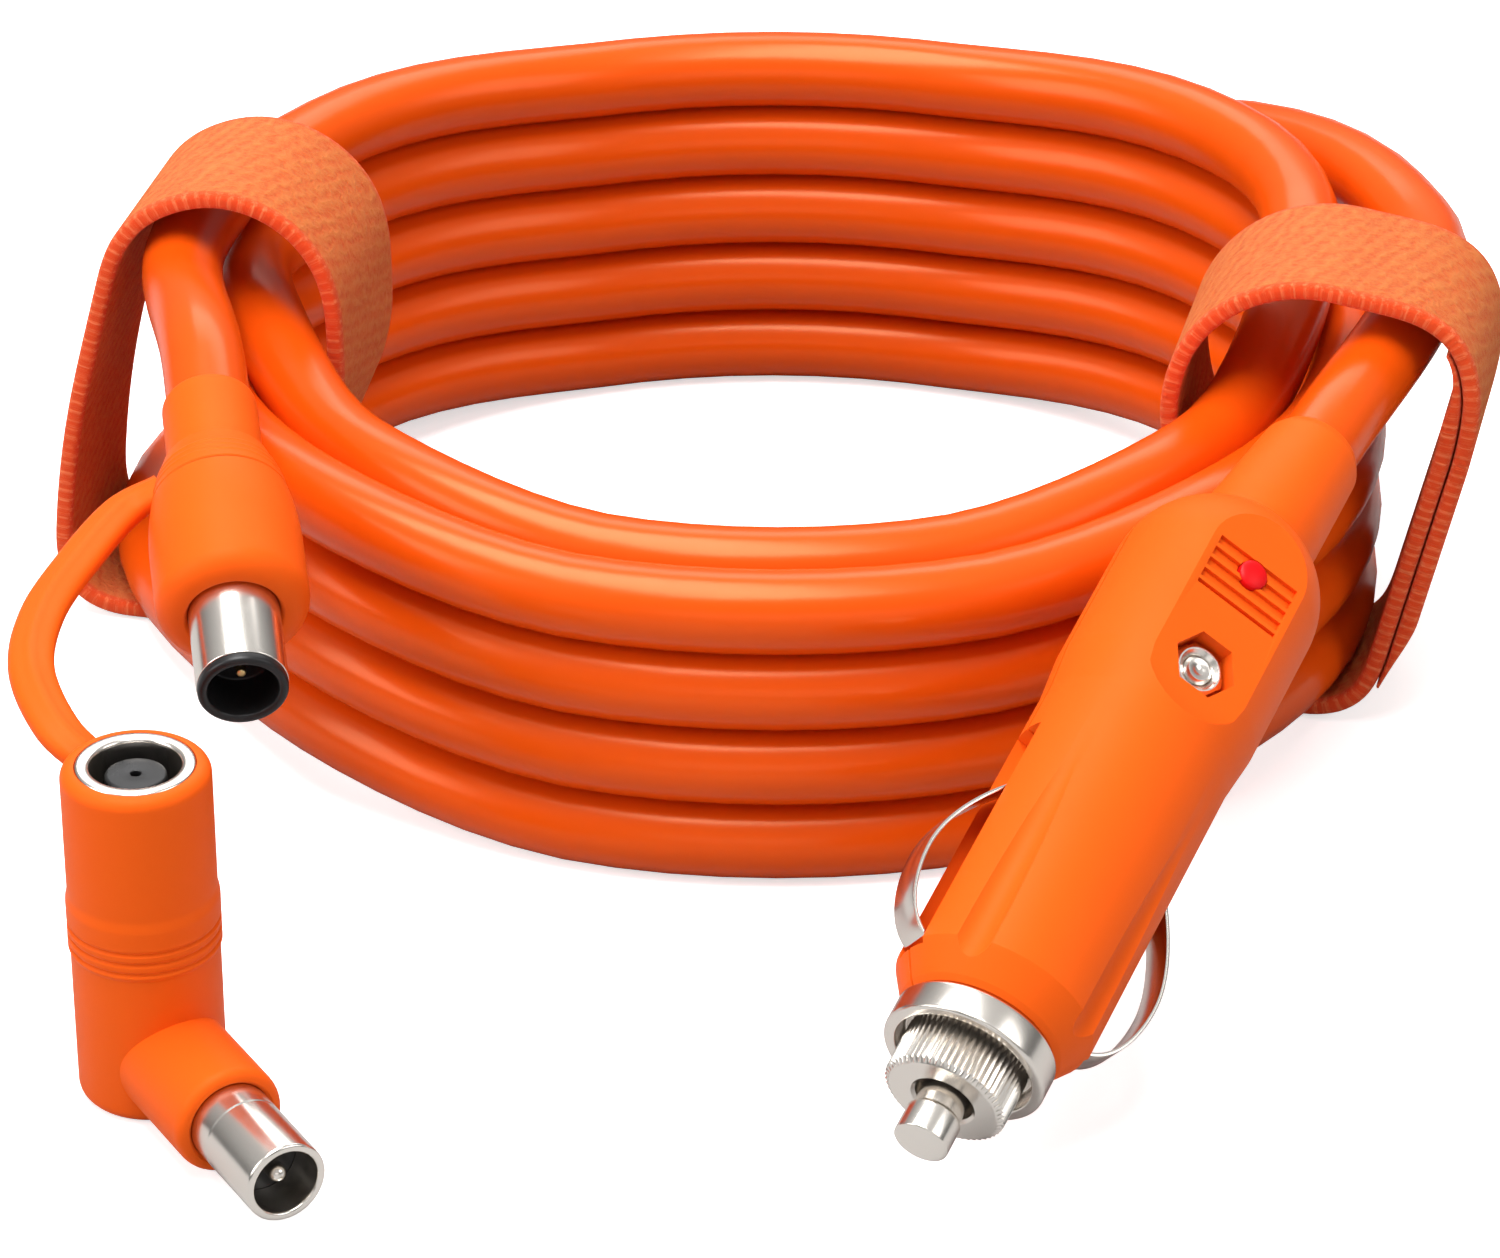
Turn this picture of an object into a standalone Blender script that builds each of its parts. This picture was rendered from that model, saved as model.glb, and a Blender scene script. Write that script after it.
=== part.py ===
"""Car-socket charging cable: coiled lead, car plug, DC connector, elbow adapter and two hook-and-loop straps.

Sizes are in millimetres and written once, at the top. The scene is in metres, +Z up, and the object rests on
z = 0. Each sub-assembly is built upright in its own frame, an empty that then carries it to its place.
"""

import math

import bmesh
import bpy
from mathutils import Euler, Matrix, Vector

MM = 0.001
GAP = 0.3  # between pieces that touch in the real object
RUN = 0.25  # radial clearance of pieces that move

# The object's place in the row frame: it brings the bounding box of the rigid pieces over the origin.
SHIFT_X = -2.708
SHIFT_Y = 51.481

# Cable and coil
CABLE_D = 8.0
PITCH = 8.6  # strand centre to strand centre
COIL_AT = (3.6, -1.0)  # the coil's middle, on the axes that every other place is given on
COIL_RX = 60.5
COIL_RY = 54.5
POINTS_PER_TURN = 24
COIL_FROM = -60.0  # degrees travelled from the middle of the far side, clockwise from above
COIL_TO = 1875.0
TOP_LEVEL = 4
SWAP_HALF = 34.0  # half the angle over which strands change places
LIFT = 2.3  # what the straps underneath raise the strands by
LIFT_FROM = 0.30  # on |cos| of the angle round the coil
LIFT_TO = 0.80
CLIMB_FROM = 1750.0  # the last strand climbs outside the stack between these
CLIMB_LEVELS = 3.9
LEAD_STRAIGHT = 5.0  # straight cable at each end of a lead
OVER_TOP = (  # degrees before the coil's start, and how the lead is moved clear of the strand below
    (16.0, (-0.4, 0.0, 2.0)),
    (35.0, (-1.6, 0.0, 1.4)),
)

# Hook-and-loop straps
STRAP_W = 20.0
STRAP_T = 1.8
STRAP_BOTTOM = 6.0  # exponent of the loop's outline below its middle
STRAP_HALF_W = 15.0
STRAP_HALF_H = 23.8
STRAP_START = -0.06  # in turns, from straight outward
STRAP_LAP = 0.27  # part of a turn that lies double
STRAP_RISE = 0.12  # part of a turn over which it climbs onto its own start
# Angle round the coil, how far outward the loop's middle lies, skew, and the exponent of the outline's top
LEFT_STRAP = (176.0, -0.9, -8.0, 3.0)
RIGHT_STRAP = (-16.0, -0.6, 4.0, 3.8)

# Car plug, stations along its axis: 0 at the shell's front face, + towards the pin's tip
PLUG_AT = (21.7, -106.9, 14.8)
PLUG_AIM = (-0.427, -0.836, -0.345)
PLUG_ROLL = -38.6
SHELL_R = 9.9
BEYOND = 1.5 * SHELL_R  # how far cutters reach, past the outside
SHELL_NOSE_R = 9.0
SHELL_CHAMFER = 4.6
HEAD_R = 10.4
HEAD_CENTRE = -55.6
BARREL_END = -36.0
FLAT_Y = 8.95  # the flat that holds grooves, lens and nut
FLAT_FRONT = -37.5
GROOVES = 5
GROOVE_PITCH = 1.5
GROOVE_W = 0.55
GROOVE_DEPTH = 0.5
GROOVE_MID = -54.4
LENS_D = 3.0
SCREW_Z = -42.5
NUT_FLATS = 5.5
NUT_H = 2.4
NUT_POCKET_FLATS = 6.1
NUT_POCKET_DEPTH = 2.6
SCREW_D = 3.0
SCREW_HEAD_R = 2.8
SCREW_HEAD_H = 1.7
SCREW_SEAT_Y = -7.2
FLUTE_R = 1.9
FLUTE_ANGLE = 38.0
FLUTE_FROM = -34.0
FUSE_BORE_R = 4.9
FUSE_BORE_END = -39.4
CHAMBER_R = 7.4
CHAMBER_FROM = -61.0
CHAMBER_TO = -46.5
BOOT_TILT_X = 5.8
BOOT_TILT_Y = 6.4
BOOT_R_HEAD = 6.0
BOOT_R_END = 5.0
BOOT_LENGTH = 24.2
BOOT_COLLAR_R = 7.0
CUP_R = 8.0
CUP_LENGTH = 3.3
CUP_RECESS_R = 6.8
CUP_RECESS = 2.0
CAP_R = 6.0
CAP_FROM = 3.2
CAP_TO = 8.0
CAP_TEETH = 44
CAP_STEM_R = 4.5
CAP_STEM_END = -9.0
CAP_HOLE_R = 2.9
CAP_BORE_R = 3.5
CAP_TRAVEL = 4.0
PIN_R = 2.1
PIN_TIP_R = 2.4
PIN_TIP = 13.0
PIN_TRAVEL = 3.0
FUSE_R = 3.15
FUSE_FRONT = 1.9
FUSE_CAP_L = 6.0
FUSE_L = 30.0
SPRING_WIRE = 0.7
SPRING_R = 2.4
SPRING_TURNS = 5
SIDE_W = 4.0
SIDE_T = 0.4
SIDE_ROOT_X = 7.2
SIDE_ROOT_Z = -31.0
SIDE_BOW_X = 13.2
SIDE_TIP_X = 9.4
SIDE_TIP_Z = -4.2
SLOT_FLOOR = 6.0
LIVE_X = 3.3
LIVE_WAY_R = 1.3
EARTH_X = -6.6
EARTH_WAY_R = 1.2
CORE_R = 0.95
BOARD_HALF_W = 3.4
BOARD_Y = 3.2
BOARD_T = 1.0
BOARD_BEHIND = 3.6  # how far the board reaches either way from the lens
BOARD_AHEAD = 5.9

# DC connector, stations along its axis: 0 at the cable's end of the neck, + towards the barrel's tip
DC_AT = (-53.1, -35.6, 42.0)
DC_AIM = (0.147, -0.954, -0.265)
DC_NECK_R = 5.0
DC_NECK_L = 7.0
DC_BODY_R = 7.5
DC_SHOULDER_END = 15.0
DC_BODY_END = 30.0
DC_LIP = 0.3  # flat between the rounded edge and the recess round the barrel
DC_RECESS_W = 0.6
DC_RECESS = 0.8
DC_BARREL_R = 4.1
DC_BORE_R = 3.0
DC_BARREL_TIP = 40.0
DC_PIN_R = 0.45
DC_RING_Z = (11.3, 13.0, 14.7)
RING_R = 0.25

# Elbow adapter, standing on its round end. Its arm points along local -Y.
ADAPTER_AT = (-55.5, -93.5, 0.0)
ADAPTER_TURN = 31.0
ADAPTER_R = 7.0
ADAPTER_H = 35.4
ADAPTER_EDGE = 1.2
ADAPTER_RING_Z = (17.5, 19.5, 21.5)
SOCKET_R = 5.5
SOCKET_BORE_R = 4.25
SOCKET_DEPTH = 12.0
SOCKET_CORE_R = 2.9
ARM_R = 5.4
ARM_Z = 5.6
ARM_END = 17.0
MALE_R = 4.0
MALE_BORE_R = 3.2
MALE_TIP = 28.0
MALE_PIN_R = 0.85
TETHER_W = 4.0
TETHER_T = 3.0
COLLAR_T = 1.6
COLLAR_Z = 4.2
COLLAR_H = 3.0


def clear_scene():
    for old in list(bpy.data.objects):
        bpy.data.objects.remove(old, do_unlink=True)


def make_material(name, colour, metallic, roughness):
    made = bpy.data.materials.new(name)
    made.use_nodes = True
    shader = made.node_tree.nodes["Principled BSDF"]
    shader.inputs["Base Color"].default_value = (*colour, 1.0)
    shader.inputs["Metallic"].default_value = metallic
    shader.inputs["Roughness"].default_value = roughness
    made.diffuse_color = (*colour, 1.0)
    return made


def finishes():
    orange = (0.86, 0.16, 0.02)
    return {
        "jacket": make_material("jacket", orange, 0.0, 0.25),
        "moulding": make_material("moulding", (0.90, 0.19, 0.03), 0.0, 0.5),
        "strap": make_material("strap", (0.85, 0.13, 0.02), 0.0, 0.9),
        "nickel": make_material("nickel", (0.78, 0.76, 0.73), 1.0, 0.18),
        "brass": make_material("brass", (0.80, 0.62, 0.30), 1.0, 0.25),
        "black": make_material("black", (0.02, 0.02, 0.022), 0.0, 0.4),
        "lens": make_material("lens", (0.80, 0.01, 0.03), 0.0, 0.15),
        "glass": make_material("glass", (0.85, 0.90, 0.92), 0.0, 0.05),
        "board": make_material("board", (0.03, 0.22, 0.08), 0.0, 0.5),
        "core_red": make_material("core_red", (0.60, 0.02, 0.02), 0.0, 0.4),
        "core_black": make_material("core_black", (0.02, 0.02, 0.02), 0.0, 0.4),
    }


def make_frame(name, at, rotation, parent=None):
    """An empty that carries one sub-assembly."""
    frame = bpy.data.objects.new(name, None)
    bpy.context.collection.objects.link(frame)
    frame.location = Vector(at) * MM
    frame.rotation_euler = rotation
    frame.parent = parent
    return frame


def aim(direction, roll):
    """The turn that takes local +Z to the direction, with local +Y as near up as it can be, then rolled."""
    forward = Vector(direction).normalized()
    side = Vector((0, 0, 1)).cross(forward).normalized()
    up = forward.cross(side)
    turned = Matrix((side, up, forward)).transposed() @ Matrix.Rotation(math.radians(roll), 3, "Z")
    return turned.to_euler()


def add_object(name, bm, finish, parent, smooth=True):
    bmesh.ops.recalc_face_normals(bm, faces=bm.faces)
    mesh = bpy.data.meshes.new(name)
    bm.to_mesh(mesh)
    bm.free()
    made = bpy.data.objects.new(name, mesh)
    bpy.context.collection.objects.link(made)
    made.parent = parent
    if finish:
        mesh.materials.append(finish)
    if smooth:
        mesh.polygons.foreach_set("use_smooth", [True] * len(mesh.polygons))
        mesh.set_sharp_from_angle(angle=math.radians(35))
    return made


def turn_steps(steps):
    """Equal angles round a full turn."""
    return [2 * math.pi * k / steps for k in range(steps)]


def revolve(name, profile, finish, parent, steps=36):
    """A closed outline of (radius, station) turned about local Z."""
    bm = bmesh.new()
    rings = []
    for radius, z in profile:
        if radius < 1e-6:
            rings.append([bm.verts.new((0, 0, z * MM))])
            continue
        spots = [(radius * math.cos(a), radius * math.sin(a), z) for a in turn_steps(steps)]
        rings.append([bm.verts.new(Vector(spot) * MM) for spot in spots])
    for first, second in zip(rings, rings[1:] + rings[:1]):
        if len(first) == 1 and len(second) == 1:
            continue
        for k in range(steps):
            corners = [first[k % len(first)], first[(k + 1) % len(first)]]
            corners += [second[(k + 1) % len(second)], second[k % len(second)]]
            bm.faces.new(list(dict.fromkeys(corners)))
    return add_object(name, bm, finish, parent)


def extrude(name, outline, low, high, finish, parent, smooth=False):
    """A closed outline of (x, y) carried from one station to another along local Z."""
    bm = bmesh.new()
    bottom = [bm.verts.new((x * MM, y * MM, low * MM)) for x, y in outline]
    top = [bm.verts.new((x * MM, y * MM, high * MM)) for x, y in outline]
    bm.faces.new(bottom)
    bm.faces.new(top)
    for k in range(len(outline)):
        after = (k + 1) % len(outline)
        bm.faces.new((bottom[k], bottom[after], top[after], top[k]))
    return add_object(name, bm, finish, parent, smooth)


def rod(radius, low, high):
    """The outline of a plain cylinder, for revolve."""
    return [(0, low), (radius, low), (radius, high), (0, high)]


def box(name, low, high, finish, parent):
    outline = [(low[0], low[1]), (high[0], low[1]), (high[0], high[1]), (low[0], high[1])]
    return extrude(name, outline, low[2], high[2], finish, parent)


def polygon(radius, sides, turn=0.0):
    return [
        (radius * math.cos(2 * math.pi * k / sides + turn), radius * math.sin(2 * math.pi * k / sides + turn))
        for k in range(sides)
    ]


def loft(name, sections, finish, parent, smooth=True):
    """Closed sections, each a list of points in millimetres, skinned in order and capped."""
    bm = bmesh.new()
    rings = [[bm.verts.new(Vector(point) * MM) for point in section] for section in sections]
    count = len(rings[0])
    for first, second in zip(rings, rings[1:]):
        for k in range(count):
            bm.faces.new((first[k], first[(k + 1) % count], second[(k + 1) % count], second[k]))
    bm.faces.new(rings[0])
    bm.faces.new(rings[-1])
    return add_object(name, bm, finish, parent, smooth)


def combine(target, other, operation):
    """An exact Boolean with a hidden helper."""
    other.hide_render = True
    other.display_type = "WIRE"
    modifier = target.modifiers.new(other.name, "BOOLEAN")
    modifier.operation = operation
    modifier.solver = "EXACT"
    modifier.object = other


def cut(target, *cutters):
    for cutter in cutters:
        combine(target, cutter, "DIFFERENCE")


def tube(name, points, radius, finish, parent, rounds):
    """A curve with a round bevel and filled ends."""
    curve = bpy.data.curves.new(name, "CURVE")
    curve.dimensions = "3D"
    curve.bevel_depth = radius * MM
    curve.bevel_resolution = rounds
    curve.use_fill_caps = True
    curve.materials.append(finish)
    line = curve.splines.new("POLY")
    line.points.add(len(points) - 1)
    for spot, point in zip(line.points, points):
        spot.co = (*(Vector(point) * MM), 1.0)
    made = bpy.data.objects.new(name, curve)
    bpy.context.collection.objects.link(made)
    made.parent = parent
    return made


def smoothstep(value):
    value = min(max(value, 0.0), 1.0)
    return value * value * (3 - 2 * value)


def hermite(start, leave, end, arrive, count):
    """Points from start to end, leaving and arriving along the given vectors."""
    points = []
    for k in range(count + 1):
        t = k / count
        a, b = 2 * t**3 - 3 * t**2 + 1, t**3 - 2 * t**2 + t
        c, d = -2 * t**3 + 3 * t**2, t**3 - t**2
        points.append(Vector(start) * a + Vector(leave) * b + Vector(end) * c + Vector(arrive) * d)
    return points


def lift_at(angle):
    return LIFT * smoothstep((abs(math.cos(angle)) - LIFT_FROM) / (LIFT_TO - LIFT_FROM))


def swap(travelled, middle):
    """A quarter turn, in radians, made while a strand passes a place where strands change places."""
    return math.radians(90.0 * smoothstep((travelled - middle + SWAP_HALF) / (2 * SWAP_HALF)))


def strand_offset(travelled):
    """(outward, level) of a strand in pitches, after so many degrees from the middle of the far side.

    Strands run clockwise from above. The top one steps inside the stack at the right. At each pass of the
    left the strands step down a level and the last one steps outside. Neighbours turn about each other in
    quarter circles, so they stay one pitch apart.
    """
    first_left, last_left = 270.0, 270.0 + 360.0 * TOP_LEVEL
    if travelled < 180.0:
        turned = swap(travelled, 90.0)
        return -math.sin(turned), TOP_LEVEL - 1 + math.cos(turned)
    if travelled < 450.0:
        turned = swap(travelled, first_left)
        return -math.cos(turned), TOP_LEVEL - 2 + math.cos(turned) + math.sin(turned)
    if travelled > last_left - 90.0:
        climb = CLIMB_LEVELS * smoothstep((travelled - CLIMB_FROM) / (COIL_TO - CLIMB_FROM))
        return math.sin(swap(travelled, last_left)), climb
    falls = [1.0 - math.cos(swap(travelled, first_left + 360.0 * k)) for k in range(1, TOP_LEVEL)]
    return 0.0, TOP_LEVEL - 1 - sum(falls)


def coil_point(travelled):
    outward, level = strand_offset(travelled)
    angle = math.radians(90.0 - travelled)
    reach = outward * PITCH
    z = CABLE_D / 2 + level * PITCH + lift_at(angle)
    x, y = (COIL_RX + reach) * math.cos(angle), (COIL_RY + reach) * math.sin(angle)
    return Vector((COIL_AT[0] + x, COIL_AT[1] + y, z))


def coil_points():
    step = 360.0 / POINTS_PER_TURN
    count = round((COIL_TO - COIL_FROM) / step)
    return [coil_point(COIL_FROM + (COIL_TO - COIL_FROM) * k / count) for k in range(count + 1)]


def least_gap(points):
    """The least distance between strands, surface to surface, on points of the centre line."""
    far_apart = POINTS_PER_TURN // 3
    least = 1e9
    for i, first in enumerate(points):
        for second in points[i + far_apart :]:
            least = min(least, (first - second).length)
    return least - CABLE_D


def heading(points, index):
    """The direction of travel at a point of a route."""
    return (points[min(index + 1, len(points) - 1)] - points[max(index - 1, 0)]).normalized()


def strap_outline(middle, top_exponent, count=60):
    """Points of a rounded loop in the strap's own plane, (outward, up), with its tail lapped over outside."""
    outline = []
    total = 1.0 + STRAP_LAP
    for k in range(count + 1):
        turn = total * k / count
        angle = 2 * math.pi * (turn + STRAP_START)
        grow = (STRAP_T + GAP) * smoothstep((turn - 1.0 + STRAP_RISE) / STRAP_RISE)
        c, s = math.cos(angle), math.sin(angle)
        power = 2 / (top_exponent if s > 0 else STRAP_BOTTOM)
        out = math.copysign(abs(c) ** power, c) * (STRAP_HALF_W + grow)
        up = math.copysign(abs(s) ** power, s) * (STRAP_HALF_H + grow)
        outline.append(Vector((middle + out, STRAP_T + STRAP_HALF_H + up)))
    return outline


def strap_axes(place):
    """Where a strap stands on the floor, the way along the cable there, and the way outward."""
    angle = math.radians(place[0])
    along = Vector((-COIL_RX * math.sin(angle), COIL_RY * math.cos(angle), 0)).normalized()
    along.rotate(Matrix.Rotation(math.radians(place[2]), 3, "Z"))
    foot = Vector((COIL_AT[0] + COIL_RX * math.cos(angle), COIL_AT[1] + COIL_RY * math.sin(angle), 0))
    return foot, along, along.cross(Vector((0, 0, 1)))


def build_strap(name, place, finish, parent):
    foot, along, out = strap_axes(place)
    line = strap_outline(place[1], place[3])
    sections = []
    for k, spot in enumerate(line):
        direction = (line[min(k + 1, len(line) - 1)] - line[max(k - 1, 0)]).normalized()
        normal = Vector((direction.y, -direction.x))
        section = []
        for side, layer in ((-1, 0), (1, 0), (1, 1), (-1, 1)):
            flat = spot + normal * STRAP_T * layer
            section.append(foot + out * flat.x + Vector((0, 0, flat.y)) + along * side * STRAP_W / 2)
        sections.append(section)
    return loft(name, sections, finish, parent)


def lead(start, leave, vias, end, arrive, reach):
    """A route with a straight cable diameter at each end, through the vias, each a (point, direction)."""
    knots = [(start + leave * LEAD_STRAIGHT, leave), *vias, (end - arrive * LEAD_STRAIGHT, arrive)]
    route = [start]
    for (one, out), (two, into) in zip(knots, knots[1:]):
        pull = (two - one).length * reach
        route += hermite(one, out * pull, two, into * pull, 5)[:-1]
    return [*route, knots[-1][0], end]


def coil_ends():
    """(point, direction of travel) at the coil's two ends."""
    first, last = coil_points()[:2], coil_points()[-2:]
    return (first[0], (first[1] - first[0]).normalized()), (last[1], (last[1] - last[0]).normalized())


def lead_dc_points():
    """From the DC connector's neck to the coil's start, over the top of the stack at the left strap."""
    aimed = Vector(DC_AIM).normalized()
    (joined, travel), _ = coil_ends()
    vias = []
    for before, lifted in reversed(OVER_TOP):
        spot = COIL_FROM - before
        along = (coil_point(spot + 1.0) - coil_point(spot - 1.0)).normalized()
        vias.append((coil_point(spot) + Vector(lifted), along))
    return lead(Vector(DC_AT) - aimed * GAP, -aimed, vias, joined - travel * GAP, travel, 1.0)


def lead_plug_points(boot_end, boot_aim):
    """From the coil's end, round the outside of the stack at the right, to the plug's boot."""
    _, (joined, travel) = coil_ends()
    return lead(joined + travel * GAP, travel, [], boot_end - boot_aim * GAP, boot_aim, 1.0)


def groove_cutters(frame):
    cutters = []
    for k in range(GROOVES):
        z = GROOVE_MID + (k - (GROOVES - 1) / 2) * GROOVE_PITCH
        low = (-SHELL_R, FLAT_Y - GROOVE_DEPTH, z - GROOVE_W / 2)
        cutters.append(box(f"cut_groove_{k + 1}", low, (SHELL_R, SHELL_R + 2, z + GROOVE_W / 2), None, frame))
    return cutters


def stand_up(made, z):
    """Turns a piece built along local Z so that it stands square to the plug's face, at a station."""
    made.rotation_euler = (-math.pi / 2, 0, 0)
    made.location = (0, 0, z * MM)
    return made


def upright_prism(name, outline, z, low, high, finish, frame, smooth=False):
    """An outline in the plug's face plane, carried along local Y."""
    return stand_up(extrude(name, outline, low, high, finish, frame, smooth), z)


def shell_profile():
    """The closed outline of the plug's body, hollow chamber and fuse bore left out."""
    head = [
        (HEAD_R * math.sin(math.radians(a)), HEAD_CENTRE - HEAD_R * math.cos(math.radians(a)))
        for a in range(0, 91, 9)
    ]
    head[0] = (0.0, HEAD_CENTRE - HEAD_R)
    barrel = [(HEAD_R, BARREL_END - 5.0), (SHELL_R, BARREL_END), (SHELL_R, -SHELL_CHAMFER)]
    nose = [(SHELL_NOSE_R, -0.5), (SHELL_NOSE_R - 0.5, 0.0), (0.0, 0.0)]
    return [*head, *barrel, *nose]


def build_shells(frame, boot, finish):
    """Both halves: the turned body, halved, less the bores, the chamber, the boot's socket and the slots."""
    halves = []
    bore = revolve("cut_bore", rod(FUSE_BORE_R, FUSE_BORE_END, 1), None, frame)
    room = [(0, CHAMBER_FROM), (CHAMBER_R - 2, CHAMBER_FROM), (CHAMBER_R, CHAMBER_FROM + 3)]
    chamber = revolve("cut_chamber", [*room, (CHAMBER_R, CHAMBER_TO), (0, CHAMBER_TO)], None, frame)
    live_way = revolve("cut_live", rod(LIVE_WAY_R, CHAMBER_TO - 1, FUSE_BORE_END + 0.5), None, frame, 24)
    live_way.location = (LIVE_X * MM, 0, 0)
    earth_way = revolve("cut_earth", rod(EARTH_WAY_R, CHAMBER_TO - 1, -31.5), None, frame, 24)
    earth_way.location = (EARTH_X * MM, 0, 0)
    ring_room = [(5.5, -32.5), (8.0, -32.5), (8.0, -26.5), (5.5, -26.5)]
    bracket_room = revolve("cut_bracket", ring_room, None, frame)
    socket = revolve("cut_boot", rod(BOOT_R_HEAD + GAP, -BOOT_LENGTH, -3), None, boot)
    slots = []
    for side, sign in (("left", -1), ("right", 1)):
        low = (min(sign * SLOT_FLOOR, sign * BEYOND), -SIDE_W / 2 - GAP, SIDE_ROOT_Z + 0.5)
        high = (max(sign * SLOT_FLOOR, sign * BEYOND), SIDE_W / 2 + GAP, SIDE_TIP_Z + 1.2)
        slots.append(box(f"cut_slot_{side}", low, high, None, frame))
    for name, sign in (("plug_shell_upper", 1), ("plug_shell_lower", -1)):
        half = revolve(name, shell_profile(), finish, frame, 56)
        low = (-BEYOND, min(sign * GAP / 2, -sign * BEYOND), HEAD_CENTRE - BEYOND)
        high = (BEYOND, max(sign * GAP / 2, -sign * BEYOND), CUP_LENGTH)
        keep = box(f"cut_half_{name}", low, high, None, frame)
        cut(half, keep, bore, chamber, live_way, earth_way, bracket_room, socket, *slots)
        halves.append(half)
    return halves


def flute_cutters(frame, face):
    """Two long shallow flutes that widen towards the nose, beside the middle of one half's face."""
    cutters = []
    for side in (-1, 1):
        angle = math.pi / 2 * face + side * math.radians(FLUTE_ANGLE)
        centre = Vector((math.cos(angle), math.sin(angle), 0))
        sections = []
        start, middle = (FLUTE_FROM, SHELL_R + 0.6, 0.7), (-12.0, SHELL_R + 0.5, FLUTE_R)
        for z, out, radius in (start, middle, (2.0, SHELL_R, FLUTE_R + 0.3)):
            spots = polygon(radius, 14)
            sections.append([centre * out + Vector((x, y, z)) for x, y in spots])
        cutters.append(loft(f"cut_flute_{face}_{side}", sections, None, frame))
    return cutters


def finish_shells(upper, lower, frame):
    flat = box("cut_flat", (-BEYOND, FLAT_Y, HEAD_CENTRE - BEYOND), (BEYOND, BEYOND, FLAT_FRONT), None, frame)
    pocket = polygon(NUT_POCKET_FLATS / math.sqrt(3), 6)
    nut_room = upright_prism("cut_nut", pocket, SCREW_Z, FLAT_Y - NUT_POCKET_DEPTH, BEYOND, None, frame)
    wide, narrow = SCREW_HEAD_R + RUN, SCREW_D / 2 + RUN
    seat = SCREW_SEAT_Y + GAP
    outline = [(0, -BEYOND), (wide, -BEYOND), (wide, seat), (narrow, seat), (narrow, BEYOND), (0, BEYOND)]
    shaft = stand_up(revolve("cut_shaft", outline, None, frame, 22), SCREW_Z)
    lens_hole = upright_prism("cut_lens", polygon(LENS_D / 2 + RUN, 20), GROOVE_MID, 5, BEYOND, None, frame)
    cut(upper, flat, *groove_cutters(frame), nut_room, shaft, lens_hole, *flute_cutters(frame, 1))
    cut(lower, shaft, *flute_cutters(frame, -1))


def build_boot(boot, finish):
    """The strain relief: local -Z runs out along the cable."""
    outline = [
        (2.4, -5.0),
        (BOOT_R_HEAD, -5.0),
        (BOOT_R_HEAD, -12.0),
        (BOOT_R_END + 0.2, -BOOT_LENGTH + 1.2),
        (BOOT_R_END - 0.6, -BOOT_LENGTH),
        (0.0, -BOOT_LENGTH),
        (0.0, -BOOT_LENGTH + 4.0),
        (2.4, -BOOT_LENGTH + 4.0),
    ]
    return revolve("plug_boot", outline, finish, boot)


def build_screw(frame, finish):
    """A pan head under the lower half and a shank up to the nut, turned as one piece."""
    shank, top = SCREW_D / 2 - 0.05, FLAT_Y - 0.5
    low = SCREW_SEAT_Y - SCREW_HEAD_H
    outline = [
        (0, low),
        (SCREW_HEAD_R - 0.4, low),
        (SCREW_HEAD_R, low + 0.5),
        (SCREW_HEAD_R, SCREW_SEAT_Y),
        (shank, SCREW_SEAT_Y),
        (shank, top - 0.4),
        (shank - 0.4, top),
        (0, top),
    ]
    return stand_up(revolve("plug_screw", outline, finish, frame, 24), SCREW_Z)


def build_nut(frame, finish):
    low = FLAT_Y - NUT_POCKET_DEPTH + 0.1
    corners = polygon(NUT_FLATS / math.sqrt(3), 6)
    nut = upright_prism("plug_hex_nut", corners, SCREW_Z, low, low + NUT_H - 0.2, finish, frame)
    hole = upright_prism("cut_nut_hole", polygon(SCREW_D / 2 + 0.1, 24), SCREW_Z, 0, 14, None, frame)
    cut(nut, hole)
    return nut


def build_side_contact(name, sign, frame, finish):
    """A spring strip: a straight root in the shell, then a bow that ends in its slot near the nose."""
    root = Vector((SIDE_ROOT_X, SIDE_ROOT_Z))
    bend = Vector((SIDE_ROOT_X, -26.0))
    apex = Vector((SIDE_BOW_X, -12.5))
    tip = Vector((SIDE_TIP_X, SIDE_TIP_Z))
    rising = hermite2(bend, Vector((0, 12)), apex, Vector((0, 10)), 9)
    falling = hermite2(apex, Vector((0, 8)), tip, Vector((-6, 5)), 7)
    line = [root, *rising, *falling[1:]]
    sections = []
    for k, spot in enumerate(line):
        direction = (line[min(k + 1, len(line) - 1)] - line[max(k - 1, 0)]).normalized()
        normal = Vector((direction.y, -direction.x)) * SIDE_T / 2
        inner, outer = spot - normal, spot + normal
        half = SIDE_W / 2
        section = [(inner, -half), (outer, -half), (outer, half), (inner, half)]
        sections.append([(sign * flat.x, y, flat.y) for flat, y in section])
    return loft(name, sections, finish, frame)


def hermite2(start, leave, end, arrive, count):
    flat = hermite(start.to_3d(), leave.to_3d(), end.to_3d(), arrive.to_3d(), count)
    return [point.to_2d() for point in flat]


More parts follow.
